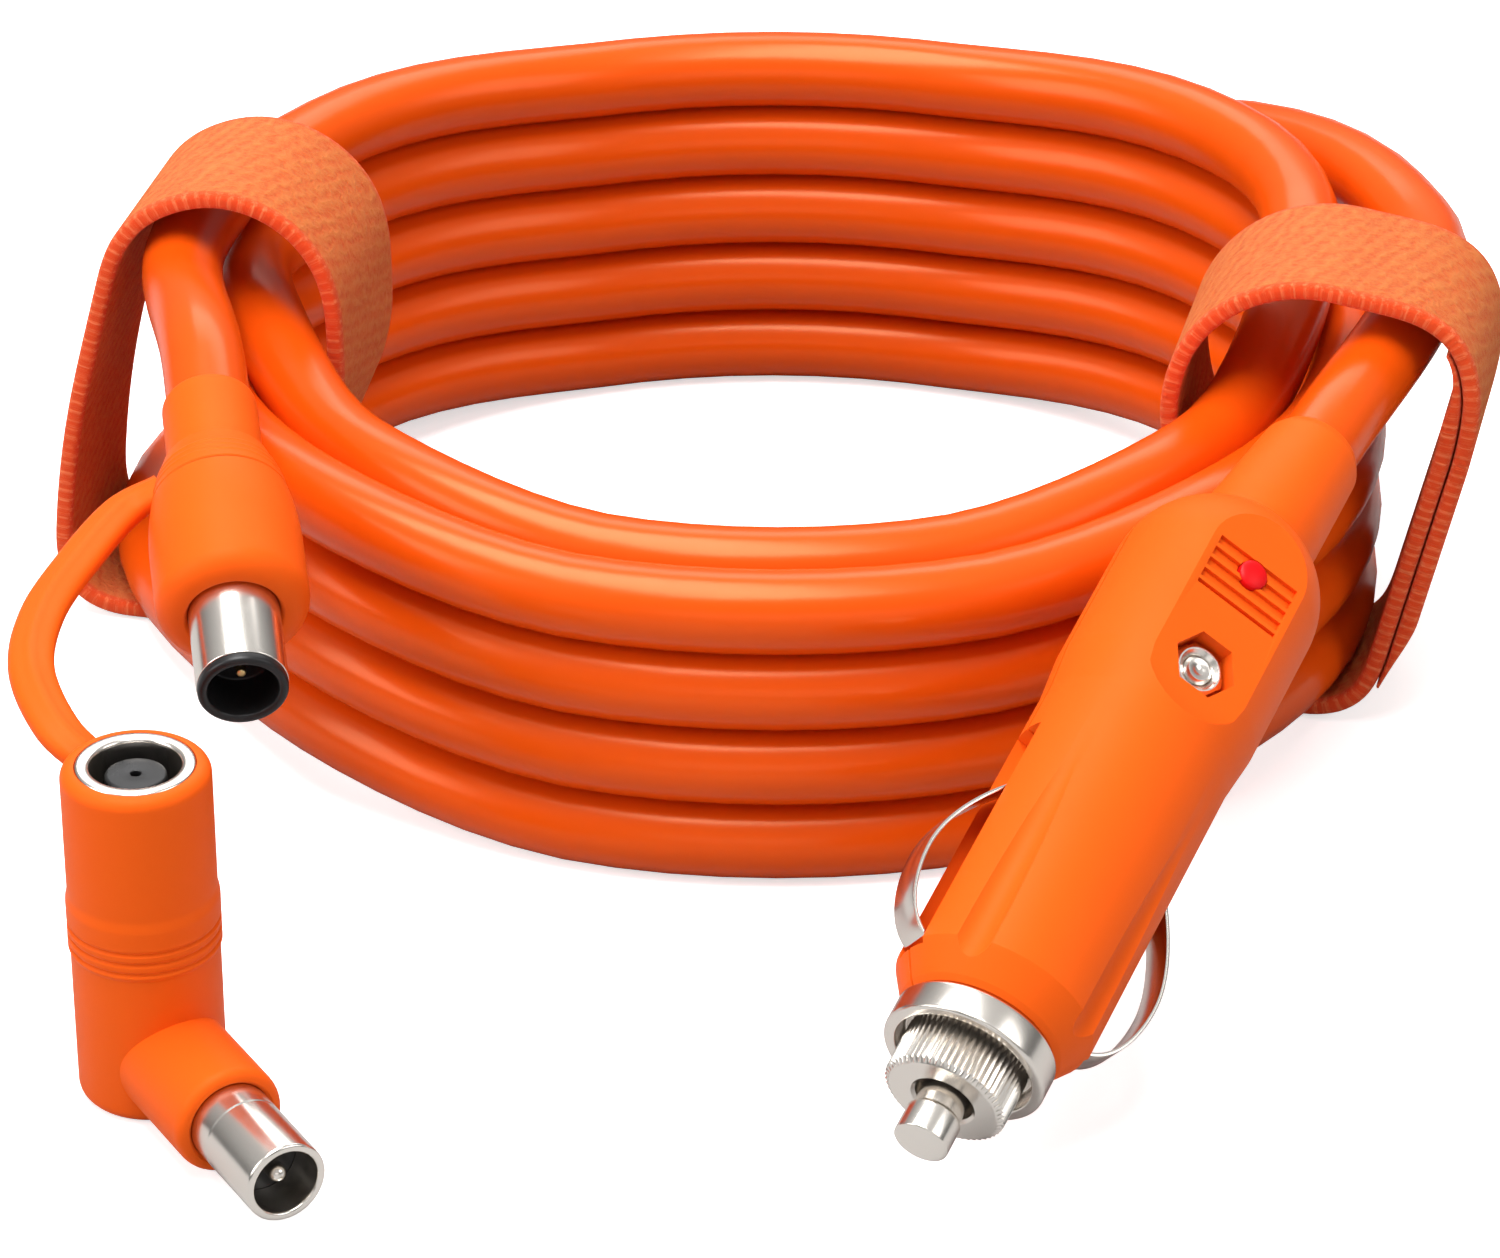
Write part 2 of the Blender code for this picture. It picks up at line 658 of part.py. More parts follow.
def build_nose(frame, finishes_of):
    """The loose cup, the knurled cap on its stem, the centre pin and the fuse behind it."""
    nickel, brass = finishes_of["nickel"], finishes_of["brass"]
    cup_front = GAP + CUP_LENGTH
    cup = [
        (CAP_STEM_R + RUN, GAP),
        (CUP_R - 0.3, GAP),
        (CUP_R, GAP + 0.4),
        (CUP_R, cup_front - 0.3),
        (CUP_R - 0.3, cup_front),
        (CUP_RECESS_R, cup_front),
        (CUP_RECESS_R, cup_front - CUP_RECESS),
        (CAP_STEM_R + RUN, cup_front - CUP_RECESS),
    ]
    revolve("nose_cup", cup, nickel, frame, 48)
    seat = cup_front - CUP_RECESS + GAP
    teeth = []
    for k in range(2 * CAP_TEETH):
        radius = CAP_R if k % 2 else CAP_R - 0.35
        angle = math.pi * k / CAP_TEETH
        teeth.append((radius * math.cos(angle), radius * math.sin(angle)))
    cap = extrude("knurled_cap", teeth, seat, CAP_TO, nickel, frame)
    combine(cap, revolve("add_stem", rod(CAP_STEM_R, CAP_STEM_END, seat + 0.5), None, frame), "UNION")
    step = 4.8
    wide = [(0, CAP_STEM_END - 1), (CAP_BORE_R, CAP_STEM_END - 1), (CAP_BORE_R, step)]
    narrow = [(CAP_HOLE_R, step), (CAP_HOLE_R, CAP_TO + 1), (0, CAP_TO + 1)]
    cut(cap, revolve("cut_cap_bore", [*wide, *narrow], None, frame))
    flange = FUSE_FRONT + GAP
    pin = [
        (0, flange),
        (CAP_BORE_R - RUN, flange),
        (CAP_BORE_R - RUN, step - GAP),
        (PIN_R, step - GAP),
        (PIN_R, PIN_TIP - 3.6),
        (PIN_TIP_R, PIN_TIP - 3.1),
        (PIN_TIP_R, PIN_TIP - 0.7),
        (PIN_TIP_R - 0.7, PIN_TIP),
        (0, PIN_TIP),
    ]
    revolve("centre_pin", pin, nickel, frame)
    rear = FUSE_FRONT - FUSE_L
    wall = 0.35
    for name, closed, sign in (("fuse_cap_front", FUSE_FRONT, -1), ("fuse_cap_rear", rear, 1)):
        mouth, inner = closed + sign * FUSE_CAP_L, closed + sign * wall
        outside = [(0, closed), (FUSE_R, closed), (FUSE_R, mouth)]
        inside = [(FUSE_R - wall, mouth), (FUSE_R - wall, inner), (0, inner)]
        revolve(name, [*outside, *inside], nickel, frame, 32)
    glass_r = FUSE_R - wall - 0.1
    glass_in, low, high = glass_r - 0.6, rear + 1, FUSE_FRONT - 1
    glass = [(glass_in, low), (glass_r, low), (glass_r, high), (glass_in, high)]
    revolve("fuse_tube", glass, finishes_of["glass"], frame, 32)
    spring_from, spring_to = rear - GAP - SPRING_WIRE / 2, FUSE_BORE_END + 1.9 + SPRING_WIRE / 2
    coil = []
    for k in range(SPRING_TURNS * 12 + 1):
        angle = 2 * math.pi * k / 12
        z = spring_from + (spring_to - spring_from) * k / (SPRING_TURNS * 12)
        coil.append((SPRING_R * math.cos(angle), SPRING_R * math.sin(angle), z))
    tube("fuse_spring", coil, SPRING_WIRE / 2, nickel, frame, 1)
    revolve("spring_seat", rod(FUSE_BORE_R - RUN, FUSE_BORE_END + GAP, FUSE_BORE_END + 1.5), brass, frame, 32)


def build_inside(frame, boot, finishes_of):
    """The indicator, the earth bracket and the two cores, in the shell's chamber."""
    low = (-BOARD_HALF_W, BOARD_Y, GROOVE_MID - BOARD_BEHIND)
    high = (BOARD_HALF_W, BOARD_Y + BOARD_T, GROOVE_MID + BOARD_AHEAD)
    box("led_board", low, high, finishes_of["board"], frame)
    foot = BOARD_Y + BOARD_T + GAP
    lens = [(0, foot), (LENS_D / 2, foot), (LENS_D / 2, FLAT_Y - 0.2)]
    lens += [(LENS_D / 2 * 0.7, FLAT_Y + 0.25), (0, FLAT_Y + 0.45)]
    stand_up(revolve("led_lens", lens, finishes_of["lens"], frame, 24), GROOVE_MID)
    bracket = [(5.8, -32.0), (6.4, -32.0), (6.4, -27.5), (5.8, -27.5)]
    revolve("earth_bracket", bracket, finishes_of["brass"], frame)
    for name, x, start, finish in (
        ("core_live", LIVE_X, FUSE_BORE_END, "core_red"),
        ("core_earth", EARTH_X, -33.0, "core_black"),
    ):
        sign = 1 if x > 0 else -1
        turned = boot.rotation_euler.to_matrix()
        end = Vector((0, 0, HEAD_CENTRE)) + turned @ Vector((sign * 1.2, 0, -18.0))
        mouth = Vector((0, 0, HEAD_CENTRE)) + turned @ Vector((sign * 1.2, 0, -5.5))
        low = Vector((x, 0, CHAMBER_TO - 0.5))
        bend = hermite(low, Vector((0, 0, -6)), mouth, (end - mouth) * 0.5, 8)
        tube(name, [Vector((x, 0, start)), *bend, end], CORE_R, finishes_of[finish], frame, 1)


def build_dc(frame, finishes_of):
    """The straight connector: overmould, plated barrel, black liner with its nose ring, and the thin pin."""
    body = [(0, 0), (DC_NECK_R - 0.5, 0), (DC_NECK_R, 0.5), (DC_NECK_R, DC_NECK_L)]
    rise = DC_SHOULDER_END - DC_NECK_L
    for k in range(1, 8):
        t = k / 8
        body.append((DC_NECK_R + (DC_BODY_R - DC_NECK_R) * smoothstep(t), DC_NECK_L + rise * t))
    rings = []
    for z in DC_RING_Z:
        t = (z - DC_NECK_L) / rise
        rings.append((DC_NECK_R + (DC_BODY_R - DC_NECK_R) * smoothstep(t) + RING_R, z))
    body = sorted([*body, *rings], key=lambda spot: spot[1])
    body.append((DC_BODY_R, DC_SHOULDER_END + 0.6))
    room = DC_BARREL_R + GAP
    edge = DC_BODY_R - room - DC_RECESS_W - DC_LIP
    for k in range(5):
        a = math.radians(22.5 * k)
        body.append((DC_BODY_R - edge * (1 - math.cos(a)), DC_BODY_END - edge * (1 - math.sin(a))))
    body += [(room + DC_RECESS_W, DC_BODY_END), (room, DC_BODY_END - DC_RECESS)]
    body += [(room, DC_SHOULDER_END), (0, DC_SHOULDER_END)]
    revolve("dc_overmould", body, finishes_of["moulding"], frame)
    back, tip = DC_SHOULDER_END + GAP, DC_BARREL_TIP - 1.0
    barrel = [(DC_BORE_R + 0.7, back), (DC_BARREL_R, back), (DC_BARREL_R, tip), (DC_BORE_R + 0.7, tip)]
    revolve("dc_barrel", barrel, finishes_of["nickel"], frame)
    lined = DC_BORE_R + 0.7 - 0.05
    nose_r = DC_BARREL_R * 0.96
    liner = [
        (DC_PIN_R + 0.05, back),
        (lined, back),
        (lined, tip + 0.05),
        (nose_r, tip + 0.05),
        (nose_r, DC_BARREL_TIP - 0.4),
        (nose_r - 0.4, DC_BARREL_TIP),
        (DC_BORE_R + 0.3, DC_BARREL_TIP),
        (DC_BORE_R, DC_BARREL_TIP - 0.4),
        (DC_BORE_R, DC_BARREL_TIP - 9.0),
        (DC_PIN_R + 0.05, DC_BARREL_TIP - 9.0),
    ]
    revolve("dc_liner", liner, finishes_of["black"], frame)
    pin_tip = DC_BARREL_TIP - 2.0
    pin = [(0, back), (DC_PIN_R, back), (DC_PIN_R, pin_tip - 0.4), (DC_PIN_R * 0.6, pin_tip), (0, pin_tip)]
    revolve("dc_pin", pin, finishes_of["nickel"], frame, 12)


TETHER_VIA = (
    (-60.6, -49.5, 37.6),
    (-64.0, -58.0, 37.0),
    (-66.6, -68.0, 36.6),
    (-66.6, -78.0, 36.2),
    (-63.4, -86.0, 34.6),
    (-59.4, -89.2, 32.6),
)


def smooth_route(knots, per_span):
    """A Catmull-Rom line through the knots."""
    route = []
    for k in range(len(knots) - 1):
        before, one, two = knots[max(k - 1, 0)], knots[k], knots[k + 1]
        after = knots[min(k + 2, len(knots) - 1)]
        route += hermite(one, (two - before) / 2, two, (after - one) / 2, per_span)[:-1]
    return [*route, knots[-1]]


def build_tether(name, root, start, finish):
    """A band with a ridge along its middle, from the collar on the neck to the adapter's rim."""
    route = smooth_route([start, *[Vector(spot) for spot in TETHER_VIA]], 4)
    sections = []
    for k, spot in enumerate(route):
        side = heading(route, k).cross(Vector((0, 0, 1))).normalized()
        up = side.cross(heading(route, k))
        outline = []
        for step in range(12):
            angle = math.radians(30 * step + 15)
            outline.append(spot + side * TETHER_W / 2 * math.cos(angle) + up * TETHER_T / 2 * math.sin(angle))
        sections.append(outline)
    return loft(name, sections, finish, root)


def build_adapter(root, dc, frame, finishes_of):
    moulding, nickel, black = finishes_of["moulding"], finishes_of["nickel"], finishes_of["black"]
    edge = []
    for a in (0, 30, 60, 90):
        inward, down = 1 - math.cos(math.radians(a)), 1 - math.sin(math.radians(a))
        edge.append((ADAPTER_R - ADAPTER_EDGE * inward, ADAPTER_H - ADAPTER_EDGE * down))
    side = []
    for z in ADAPTER_RING_Z:
        side += [(ADAPTER_R, z - 0.5), (ADAPTER_R + RING_R, z), (ADAPTER_R, z + 0.5)]
    socket_floor = ADAPTER_H - SOCKET_DEPTH
    room = SOCKET_R + 0.05
    outline = [(0, 0), (ADAPTER_R - 1.5, 0), (ADAPTER_R - 0.4, 0.5), (ADAPTER_R, 1.6), *side, *edge]
    outline.append((0, ADAPTER_H))
    body = revolve("adapter_moulding", outline, moulding, frame)
    collar_side = dc.matrix_basis @ (Vector((-DC_NECK_R - 1.2, 0, COLLAR_Z)) * MM) / MM
    arm = make_frame("arm_frame", (0, 0, ARM_Z), (math.pi / 2, 0, 0), frame)
    arm_outline = [(0, 0), (ARM_R, 0), (ARM_R, ARM_END - 1.6), (ARM_R - 0.5, ARM_END - 0.5)]
    arm_outline += [(ARM_R - 1.1, ARM_END), (0, ARM_END)]
    combine(body, revolve("add_arm", arm_outline, moulding, arm, 40), "UNION")
    combine(body, build_tether("add_tether", root, collar_side, moulding), "UNION")
    hug = DC_NECK_R + RUN
    low, high = COLLAR_Z - COLLAR_H / 2, COLLAR_Z + COLLAR_H / 2
    collar = [(hug - 1, low), (hug + COLLAR_T, low), (hug + COLLAR_T, high), (hug - 1, high)]
    combine(body, revolve("add_collar", collar, moulding, dc, 40), "UNION")
    back = 6.5
    cut(body, revolve("cut_socket", rod(room, socket_floor, ADAPTER_H + 4), None, frame, 44))
    cut(body, revolve("cut_arm", rod(MALE_R + 0.05, back, ARM_END + 2), None, arm, 36))
    cut(body, revolve("cut_neck", rod(hug, -3, DC_NECK_L + 4), None, dc, 40))
    ring_top = ADAPTER_H + 0.1
    ring = [
        (SOCKET_BORE_R, socket_floor + GAP),
        (SOCKET_R, socket_floor + GAP),
        (SOCKET_R, ring_top - 0.3),
        (SOCKET_R - 0.3, ring_top),
        (SOCKET_BORE_R + 0.3, ring_top),
        (SOCKET_BORE_R, ring_top - 0.3),
    ]
    revolve("socket_ring", ring, nickel, frame)
    core_top = ADAPTER_H - 1.0
    core = [
        (0.0, socket_floor + GAP),
        (SOCKET_BORE_R - 0.05, socket_floor + GAP),
        (SOCKET_BORE_R - 0.05, socket_floor + 2.0),
        (SOCKET_CORE_R, socket_floor + 2.0),
        (SOCKET_CORE_R, core_top - 0.3),
        (SOCKET_CORE_R - 0.3, core_top),
        (0.5, core_top),
        (0.5, core_top - 1.0),
        (1.2, core_top - 1.0),
        (1.2, socket_floor + 2.5),
        (0.0, socket_floor + 2.5),
    ]
    revolve("socket_core", core, black, frame, 32)
    low, high = socket_floor + 2.8, core_top - 1.3
    contact = [(0.6, low), (1.15, low), (1.15, high), (0.6, high)]
    revolve("socket_contact", contact, finishes_of["brass"], frame, 20)
    groove = ARM_END + 0.25 * (MALE_TIP - ARM_END)
    barrel = [
        (MALE_BORE_R, back + GAP),
        (MALE_R, back + GAP),
        (MALE_R, groove - 0.15),
        (MALE_R - 0.12, groove),
        (MALE_R, groove + 0.15),
        (MALE_R, MALE_TIP - 0.4),
        (MALE_R - 0.3, MALE_TIP),
        (MALE_BORE_R + 0.2, MALE_TIP),
        (MALE_BORE_R, MALE_TIP - 0.4),
    ]
    revolve("adapter_barrel", barrel, nickel, arm)
    lined = MALE_BORE_R - 0.05
    hole = MALE_PIN_R + 0.05
    liner = [(hole, back + GAP), (lined, back + GAP), (lined, MALE_TIP - 4.5), (hole, MALE_TIP - 4.5)]
    revolve("adapter_liner", liner, black, arm, 32)
    head = MALE_TIP - 2.0
    pin = [(0, back + GAP), (MALE_PIN_R, back + GAP), (MALE_PIN_R, head)]
    for a in (30, 60):
        pin.append((MALE_PIN_R * math.cos(math.radians(a)), head + MALE_PIN_R * math.sin(math.radians(a))))
    pin.append((0, head + MALE_PIN_R))
    revolve("adapter_pin", pin, nickel, arm, 20)


def main():
    clear_scene()
    bpy.context.scene.unit_settings.scale_length = 1.0
    finishes_of = finishes()
    root = make_frame("root_frame", (SHIFT_X, SHIFT_Y, 0), (0, 0, 0))
    plug = make_frame("plug_frame", PLUG_AT, aim(PLUG_AIM, PLUG_ROLL), root)
    tilt = Euler((math.radians(-BOOT_TILT_X), math.radians(-BOOT_TILT_Y), 0))
    boot = make_frame("boot_frame", (0, 0, HEAD_CENTRE), tilt, plug)
    dc = make_frame("dc_frame", DC_AT, aim(DC_AIM, 0.0), root)
    adapter = make_frame("adapter_frame", ADAPTER_AT, (0, 0, math.radians(ADAPTER_TURN)), root)
    upper, lower = build_shells(plug, boot, finishes_of["moulding"])
    finish_shells(upper, lower, plug)
    build_boot(boot, finishes_of["moulding"])
    build_screw(plug, finishes_of["nickel"])
    build_nut(plug, finishes_of["nickel"])
    build_side_contact("side_contact_left", -1, plug, finishes_of["nickel"])
    build_side_contact("side_contact_right", 1, plug, finishes_of["nickel"])
    build_nose(plug, finishes_of)
    build_inside(plug, boot, finishes_of)
    build_dc(dc, finishes_of)
    build_adapter(root, dc, adapter, finishes_of)
    build_strap("strap_left", LEFT_STRAP, finishes_of["strap"], root)
    build_strap("strap_right", RIGHT_STRAP, finishes_of["strap"], root)
    wound = coil_points()
    tube("cord_coil", wound, CABLE_D / 2, finishes_of["jacket"], root, 1)
    tube("cord_lead_dc", lead_dc_points(), CABLE_D / 2, finishes_of["jacket"], root, 2)
    carried = plug.matrix_basis @ boot.matrix_basis
    boot_end = carried @ (Vector((0, 0, -BOOT_LENGTH)) * MM) / MM
    boot_aim = (carried.to_3x3() @ Vector((0, 0, 1))).normalized()
    tube("cord_lead_plug", lead_plug_points(boot_end, boot_aim), CABLE_D / 2, finishes_of["jacket"], root, 2)
    print(f"least gap between strands: {least_gap(wound):.2f} mm")


main()
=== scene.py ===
"""Looks of the car-socket charging cable: coiled lead, car plug, DC connector, elbow adapter and straps.

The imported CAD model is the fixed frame. Each sub-assembly here is a class with its sizes in a dataclass, in
millimetres, built upright in its own place and carried to the row frame by a matrix baked into the mesh.
"""

import logging
import math
from dataclasses import dataclass
from enum import Enum
from typing import Iterable, Optional, Sequence

import bmesh
import bpy
from mathutils import Euler, Matrix, Vector


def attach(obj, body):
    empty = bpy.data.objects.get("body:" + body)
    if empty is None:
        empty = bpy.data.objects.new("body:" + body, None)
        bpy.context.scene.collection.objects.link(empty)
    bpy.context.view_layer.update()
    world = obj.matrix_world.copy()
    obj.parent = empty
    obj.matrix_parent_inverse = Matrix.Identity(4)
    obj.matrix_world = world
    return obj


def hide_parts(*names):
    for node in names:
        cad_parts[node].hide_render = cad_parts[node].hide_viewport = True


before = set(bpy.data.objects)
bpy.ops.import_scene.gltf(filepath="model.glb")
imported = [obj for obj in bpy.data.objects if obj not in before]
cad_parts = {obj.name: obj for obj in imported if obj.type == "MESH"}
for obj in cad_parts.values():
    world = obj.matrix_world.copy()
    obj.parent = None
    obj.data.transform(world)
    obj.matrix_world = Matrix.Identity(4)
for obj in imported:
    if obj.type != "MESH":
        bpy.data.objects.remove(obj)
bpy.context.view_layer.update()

MM = 0.001
MERGE, SLIVER = 0.004, 0.003  # millimetres under which corners are one, and faces have no area
LOG = logging.getLogger("charging_cable")

Profile = list[tuple[float, float]]
Triple = tuple[float, float, float]
Piece = bpy.types.Object
Skin = Optional[bpy.types.Material]


class Body(str, Enum):
    """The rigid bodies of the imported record."""

    LEAD = "lead"
    CUP = "cup"
    CAP = "cap"
    CONTACT = "contact"
    LEFT_SPRING = "left_spring"
    RIGHT_SPRING = "right_spring"
    ADAPTER = "adapter"


# ---------------------------------------------------------------- places


@dataclass(frozen=True)
class Place:
    """A sub-assembly's frame: an origin in millimetres and a turn."""

    origin: Vector
    turn: Matrix

    @classmethod
    def aimed(cls, origin: Sequence[float], direction: Sequence[float], roll: float = 0.0) -> "Place":
        """Takes local +Z to the direction, with local +Y as near up as it can be, then rolls in degrees."""
        forward = Vector(direction).normalized()
        side = Vector((0, 0, 1)).cross(forward).normalized()
        turned = Matrix((side, forward.cross(side), forward)).transposed()
        return cls(Vector(origin), turned @ Matrix.Rotation(math.radians(roll), 3, "Z"))

    def child(self, origin: Sequence[float], turn: Euler) -> "Place":
        """A frame inside this one."""
        return Place(self.point(origin), self.turn @ turn.to_matrix())

    def point(self, spot: Sequence[float]) -> Vector:
        """A local point in the row frame, in millimetres."""
        return self.origin + self.turn @ Vector(spot)

    def axis(self, direction: Sequence[float]) -> Vector:
        """A local direction in the row frame."""
        return (self.turn @ Vector(direction)).normalized()

    @property
    def matrix(self) -> Matrix:
        """Local millimetres to the row frame's metres."""
        return Matrix.Translation(self.origin * MM) @ self.turn.to_4x4() @ Matrix.Scale(MM, 4)


SHIFT = Vector((-2.708, 51.481, 0.0))  # the coil's axis in the row frame
ROW = Place(SHIFT, Matrix.Identity(3))


def smoothstep(value: float) -> float:
    """The usual cubic ease from 0 to 1."""
    value = min(max(value, 0.0), 1.0)
    return value * value * (3 - 2 * value)


def hermite(start: Vector, leave: Vector, end: Vector, arrive: Vector, count: int) -> list[Vector]:
    """Points from start to end, leaving and arriving along the given vectors."""
    points = []
    for k in range(count + 1):
        t = k / count
        a, b = 2 * t**3 - 3 * t**2 + 1, t**3 - 2 * t**2 + t
        c, d = -2 * t**3 + 3 * t**2, t**3 - t**2
        points.append(Vector(start) * a + Vector(leave) * b + Vector(end) * c + Vector(arrive) * d)
    return points


def polygon(radius: float, sides: int, turn: float = 0.0) -> Profile:
    """Corners of a regular polygon."""
    angles = [2 * math.pi * k / sides + turn for k in range(sides)]
    return [(radius * math.cos(a), radius * math.sin(a)) for a in angles]


def rod(radius: float, low: float, high: float) -> Profile:
    """The outline of a plain cylinder."""
    return [(0, low), (radius, low), (radius, high), (0, high)]


def fillet(outline: Profile, radii: dict[int, float], steps: int = 4) -> Profile:
    """Rounds chosen corners of a closed outline.

    Args:
        outline: the corners, in order.
        radii: corner index to the radius it gets.
        steps: segments of each arc.

    Returns:
        The outline with each chosen corner replaced by a short arc.
    """
    made: Profile = []
    for k, corner in enumerate(outline):
        if k not in radii:
            made.append(corner)
            continue
        here = Vector(corner)
        back = Vector(outline[k - 1]) - here
        on = Vector(outline[(k + 1) % len(outline)]) - here
        half = back.angle(on) / 2
        reach = min(radii[k] / math.tan(half), back.length * 0.49, on.length * 0.49)
        one, two = here + back.normalized() * reach, here + on.normalized() * reach
        for step in range(steps + 1):
            t = step / steps
            spot = one * (1 - t) ** 2 + here * 2 * t * (1 - t) + two * t**2
            made.append((spot.x, spot.y))
    return made


# ---------------------------------------------------------------- mesh tools


class Forge:
    """Makes mesh objects in a place, with every finished object at the origin, unturned and unscaled."""

    def __init__(self, place: Place) -> None:
        self.place = place

    def build(self, name: str, bm: bmesh.types.BMesh, skin: Skin, sharp: float = 40.0) -> Piece:
        """Turns a local-millimetre bmesh into a smooth-shaded object in the row frame."""
        bmesh.ops.recalc_face_normals(bm, faces=bm.faces)
        bmesh.ops.transform(bm, matrix=self.place.matrix, verts=bm.verts)
        mesh = bpy.data.meshes.new(name)
        bm.to_mesh(mesh)
        bm.free()
        shade(mesh, sharp)
        made = bpy.data.objects.new(name, mesh)
        bpy.context.collection.objects.link(made)
        if skin:
            mesh.materials.append(skin)
        return made

    def revolve(self, name: str, profile: Profile, skin: Skin = None, steps: int = 96) -> Piece:
        """A closed outline of (radius, station) turned about local Z."""
        bm = bmesh.new()
        rings = []
        for radius, z in profile:
            if radius < 1e-6:
                rings.append([bm.verts.new((0, 0, z))])
                continue
            angles = [2 * math.pi * k / steps for k in range(steps)]
            rings.append([bm.verts.new((radius * math.cos(a), radius * math.sin(a), z)) for a in angles])
        for first, second in zip(rings, rings[1:] + rings[:1]):
            if len(first) == 1 and len(second) == 1:
                continue
            for k in range(steps):
                corners = [first[k % len(first)], first[(k + 1) % len(first)]]
                corners += [second[(k + 1) % len(second)], second[k % len(second)]]
                bm.faces.new(list(dict.fromkeys(corners)))
        return self.build(name, bm, skin)

    def loft(self, name: str, sections: Sequence[Sequence[Vector]], skin: Skin = None,
             sharp: float = 40.0) -> Piece:
        """Closed sections skinned in order and capped."""
        bm = bmesh.new()
        rings = [[bm.verts.new(point) for point in section] for section in sections]
        count = len(rings[0])
        for first, second in zip(rings, rings[1:]):
            for k in range(count):
                bm.faces.new((first[k], first[(k + 1) % count], second[(k + 1) % count], second[k]))
        bm.faces.new(rings[0])
        bm.faces.new(rings[-1])
        return self.build(name, bm, skin, sharp)

    def prism(self, name: str, outline: Profile, low: float, high: float, skin: Skin = None,
              upright_at: Optional[float] = None) -> Piece:
        """An outline carried along local Z, or along local Y at a station where upright_at is given."""
        ends = []
        for height in (low, high):
            if upright_at is None:
                ends.append([Vector((x, y, height)) for x, y in outline])
            else:
                ends.append([Vector((x, height, upright_at - y)) for x, y in outline])
        return self.loft(name, ends, skin, 20)

    def upright(self, name: str, profile: Profile, station: float, skin: Skin = None,
                steps: int = 48) -> Piece:
        """A profile of (radius, height) turned about an axis along local Y at a station."""
        stood = self.place.child((0, 0, station), Euler((-math.pi / 2, 0, 0)))
        return Forge(stood).revolve(name, profile, skin, steps)

    def box(self, name: str, low: Sequence[float], high: Sequence[float], skin: Skin = None) -> Piece:
        """An axis-aligned box in local axes."""
        outline = [(low[0], low[1]), (high[0], low[1]), (high[0], high[1]), (low[0], high[1])]
        return self.prism(name, outline, low[2], high[2], skin)


def shade(mesh: bpy.types.Mesh, sharp: float) -> None:
    """Smooth faces, with edges kept sharp over an angle in degrees."""
    mesh.polygons.foreach_set("use_smooth", [True] * len(mesh.polygons))
    mesh.set_sharp_from_angle(angle=math.radians(sharp))


def carve(target: Piece, cutters: Iterable[Piece], joined: Iterable[Piece] = (),
          edge: float = 0.0, sharp: float = 30.0) -> None:
    """Joins and cuts with exact Booleans, applies them, removes the helpers and softens the edges.

    Args:
        target: the object that stays.
        cutters: objects that are taken away.
        joined: objects that are added first.
        edge: width in millimetres of a live bevel, or 0 for none.
        sharp: angle in degrees over which an edge is bevelled or kept sharp.
    """
    helpers = [(other, "UNION") for other in joined] + [(other, "DIFFERENCE") for other in cutters]
    for other, operation in helpers:
        modifier = target.modifiers.new(other.name, "BOOLEAN")
        modifier.operation = operation
        modifier.solver = "EXACT"
        modifier.object = other
    bpy.context.view_layer.update()
    evaluated = target.evaluated_get(bpy.context.evaluated_depsgraph_get())
    mesh = bpy.data.meshes.new_from_object(evaluated)
    old = target.data
    target.modifiers.clear()
    material = old.materials[0] if old.materials else None
    target.data = mesh
    mesh.name = target.name
    mesh.materials.clear()
    if material:
        mesh.materials.append(material)
    mesh.polygons.foreach_set("material_index", [0] * len(mesh.polygons))
    for other, _ in helpers:
        bpy.data.objects.remove(other, do_unlink=True)
    bm = bmesh.new()
    bm.from_mesh(mesh)
    bmesh.ops.remove_doubles(bm, verts=bm.verts, dist=MERGE * MM)
    bmesh.ops.dissolve_degenerate(bm, edges=bm.edges, dist=SLIVER * MM)
    bm.to_mesh(mesh)
    bm.free()
    shade(mesh, sharp)
    if edge:
        bevel = target.modifiers.new("edge", "BEVEL")
        bevel.width = edge * MM
        bevel.segments = 2
        bevel.limit_method = "ANGLE"
        bevel.angle_limit = math.radians(sharp)
        bevel.use_clamp_overlap = True
        bevel.harden_normals = False
        bevel.miter_outer = "MITER_ARC"


def stands_for(piece: Piece, body: Body, node: str) -> None:
    """Puts a piece on its body, and replaces the CAD node that it stands for."""
    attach(piece, body.value)
    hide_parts(node)


# ---------------------------------------------------------------- materials


@dataclass(frozen=True)
class Finish:
    """One finish: the uniform values go straight on the shader's sockets."""

    name: str
    colour: Triple
    tint: Triple
    roughness: float
    metallic: float = 0.0
    spread: float = 0.06
    grain_per_mm: float = 3.0
    grain_depth: float = 0.01
    sheen: float = 0.0
    subsurface: float = 0.0
    transmission: float = 0.0
    specular: float = 0.5
    gloss: Triple = (1.0, 1.0, 1.0)


WARM = (1.0, 0.62, 0.34)
NAP_GLOW = (1.0, 0.55, 0.35)
RUBBER_DEPTH = (1.0, 0.25, 0.05)

JACKET = Finish(
    "jacket", (0.78, 0.086, 0.003), (0.73, 0.072, 0.002), 0.25,
    spread=0.02, grain_per_mm=0.5, grain_depth=0.001, subsurface=0.04, specular=0.50, gloss=WARM,
)
MOULDING = Finish(
    "moulding", (0.86, 0.112, 0.007), (0.82, 0.100, 0.006), 0.50,
    spread=0.06, grain_per_mm=5.0, grain_depth=0.010, subsurface=0.05, specular=0.18, gloss=WARM,
)
NICKEL = Finish("nickel", (0.82, 0.77, 0.71), (0.77, 0.72, 0.66), 0.22, 1.0, 0.03, 0.8, 0.0004)
STEEL = Finish("steel", (0.62, 0.60, 0.58), (0.50, 0.48, 0.46), 0.28, 1.0, 0.10, 2.0, 0.005)
BRASS = Finish("brass", (0.78, 0.58, 0.28), (0.66, 0.47, 0.20), 0.28, 1.0, 0.10, 1.5, 0.004)
BLACK = Finish(
    "black", (0.008, 0.008, 0.009), (0.013, 0.012, 0.012), 0.34,
    spread=0.08, grain_per_mm=4.0, grain_depth=0.006, specular=0.35,
)
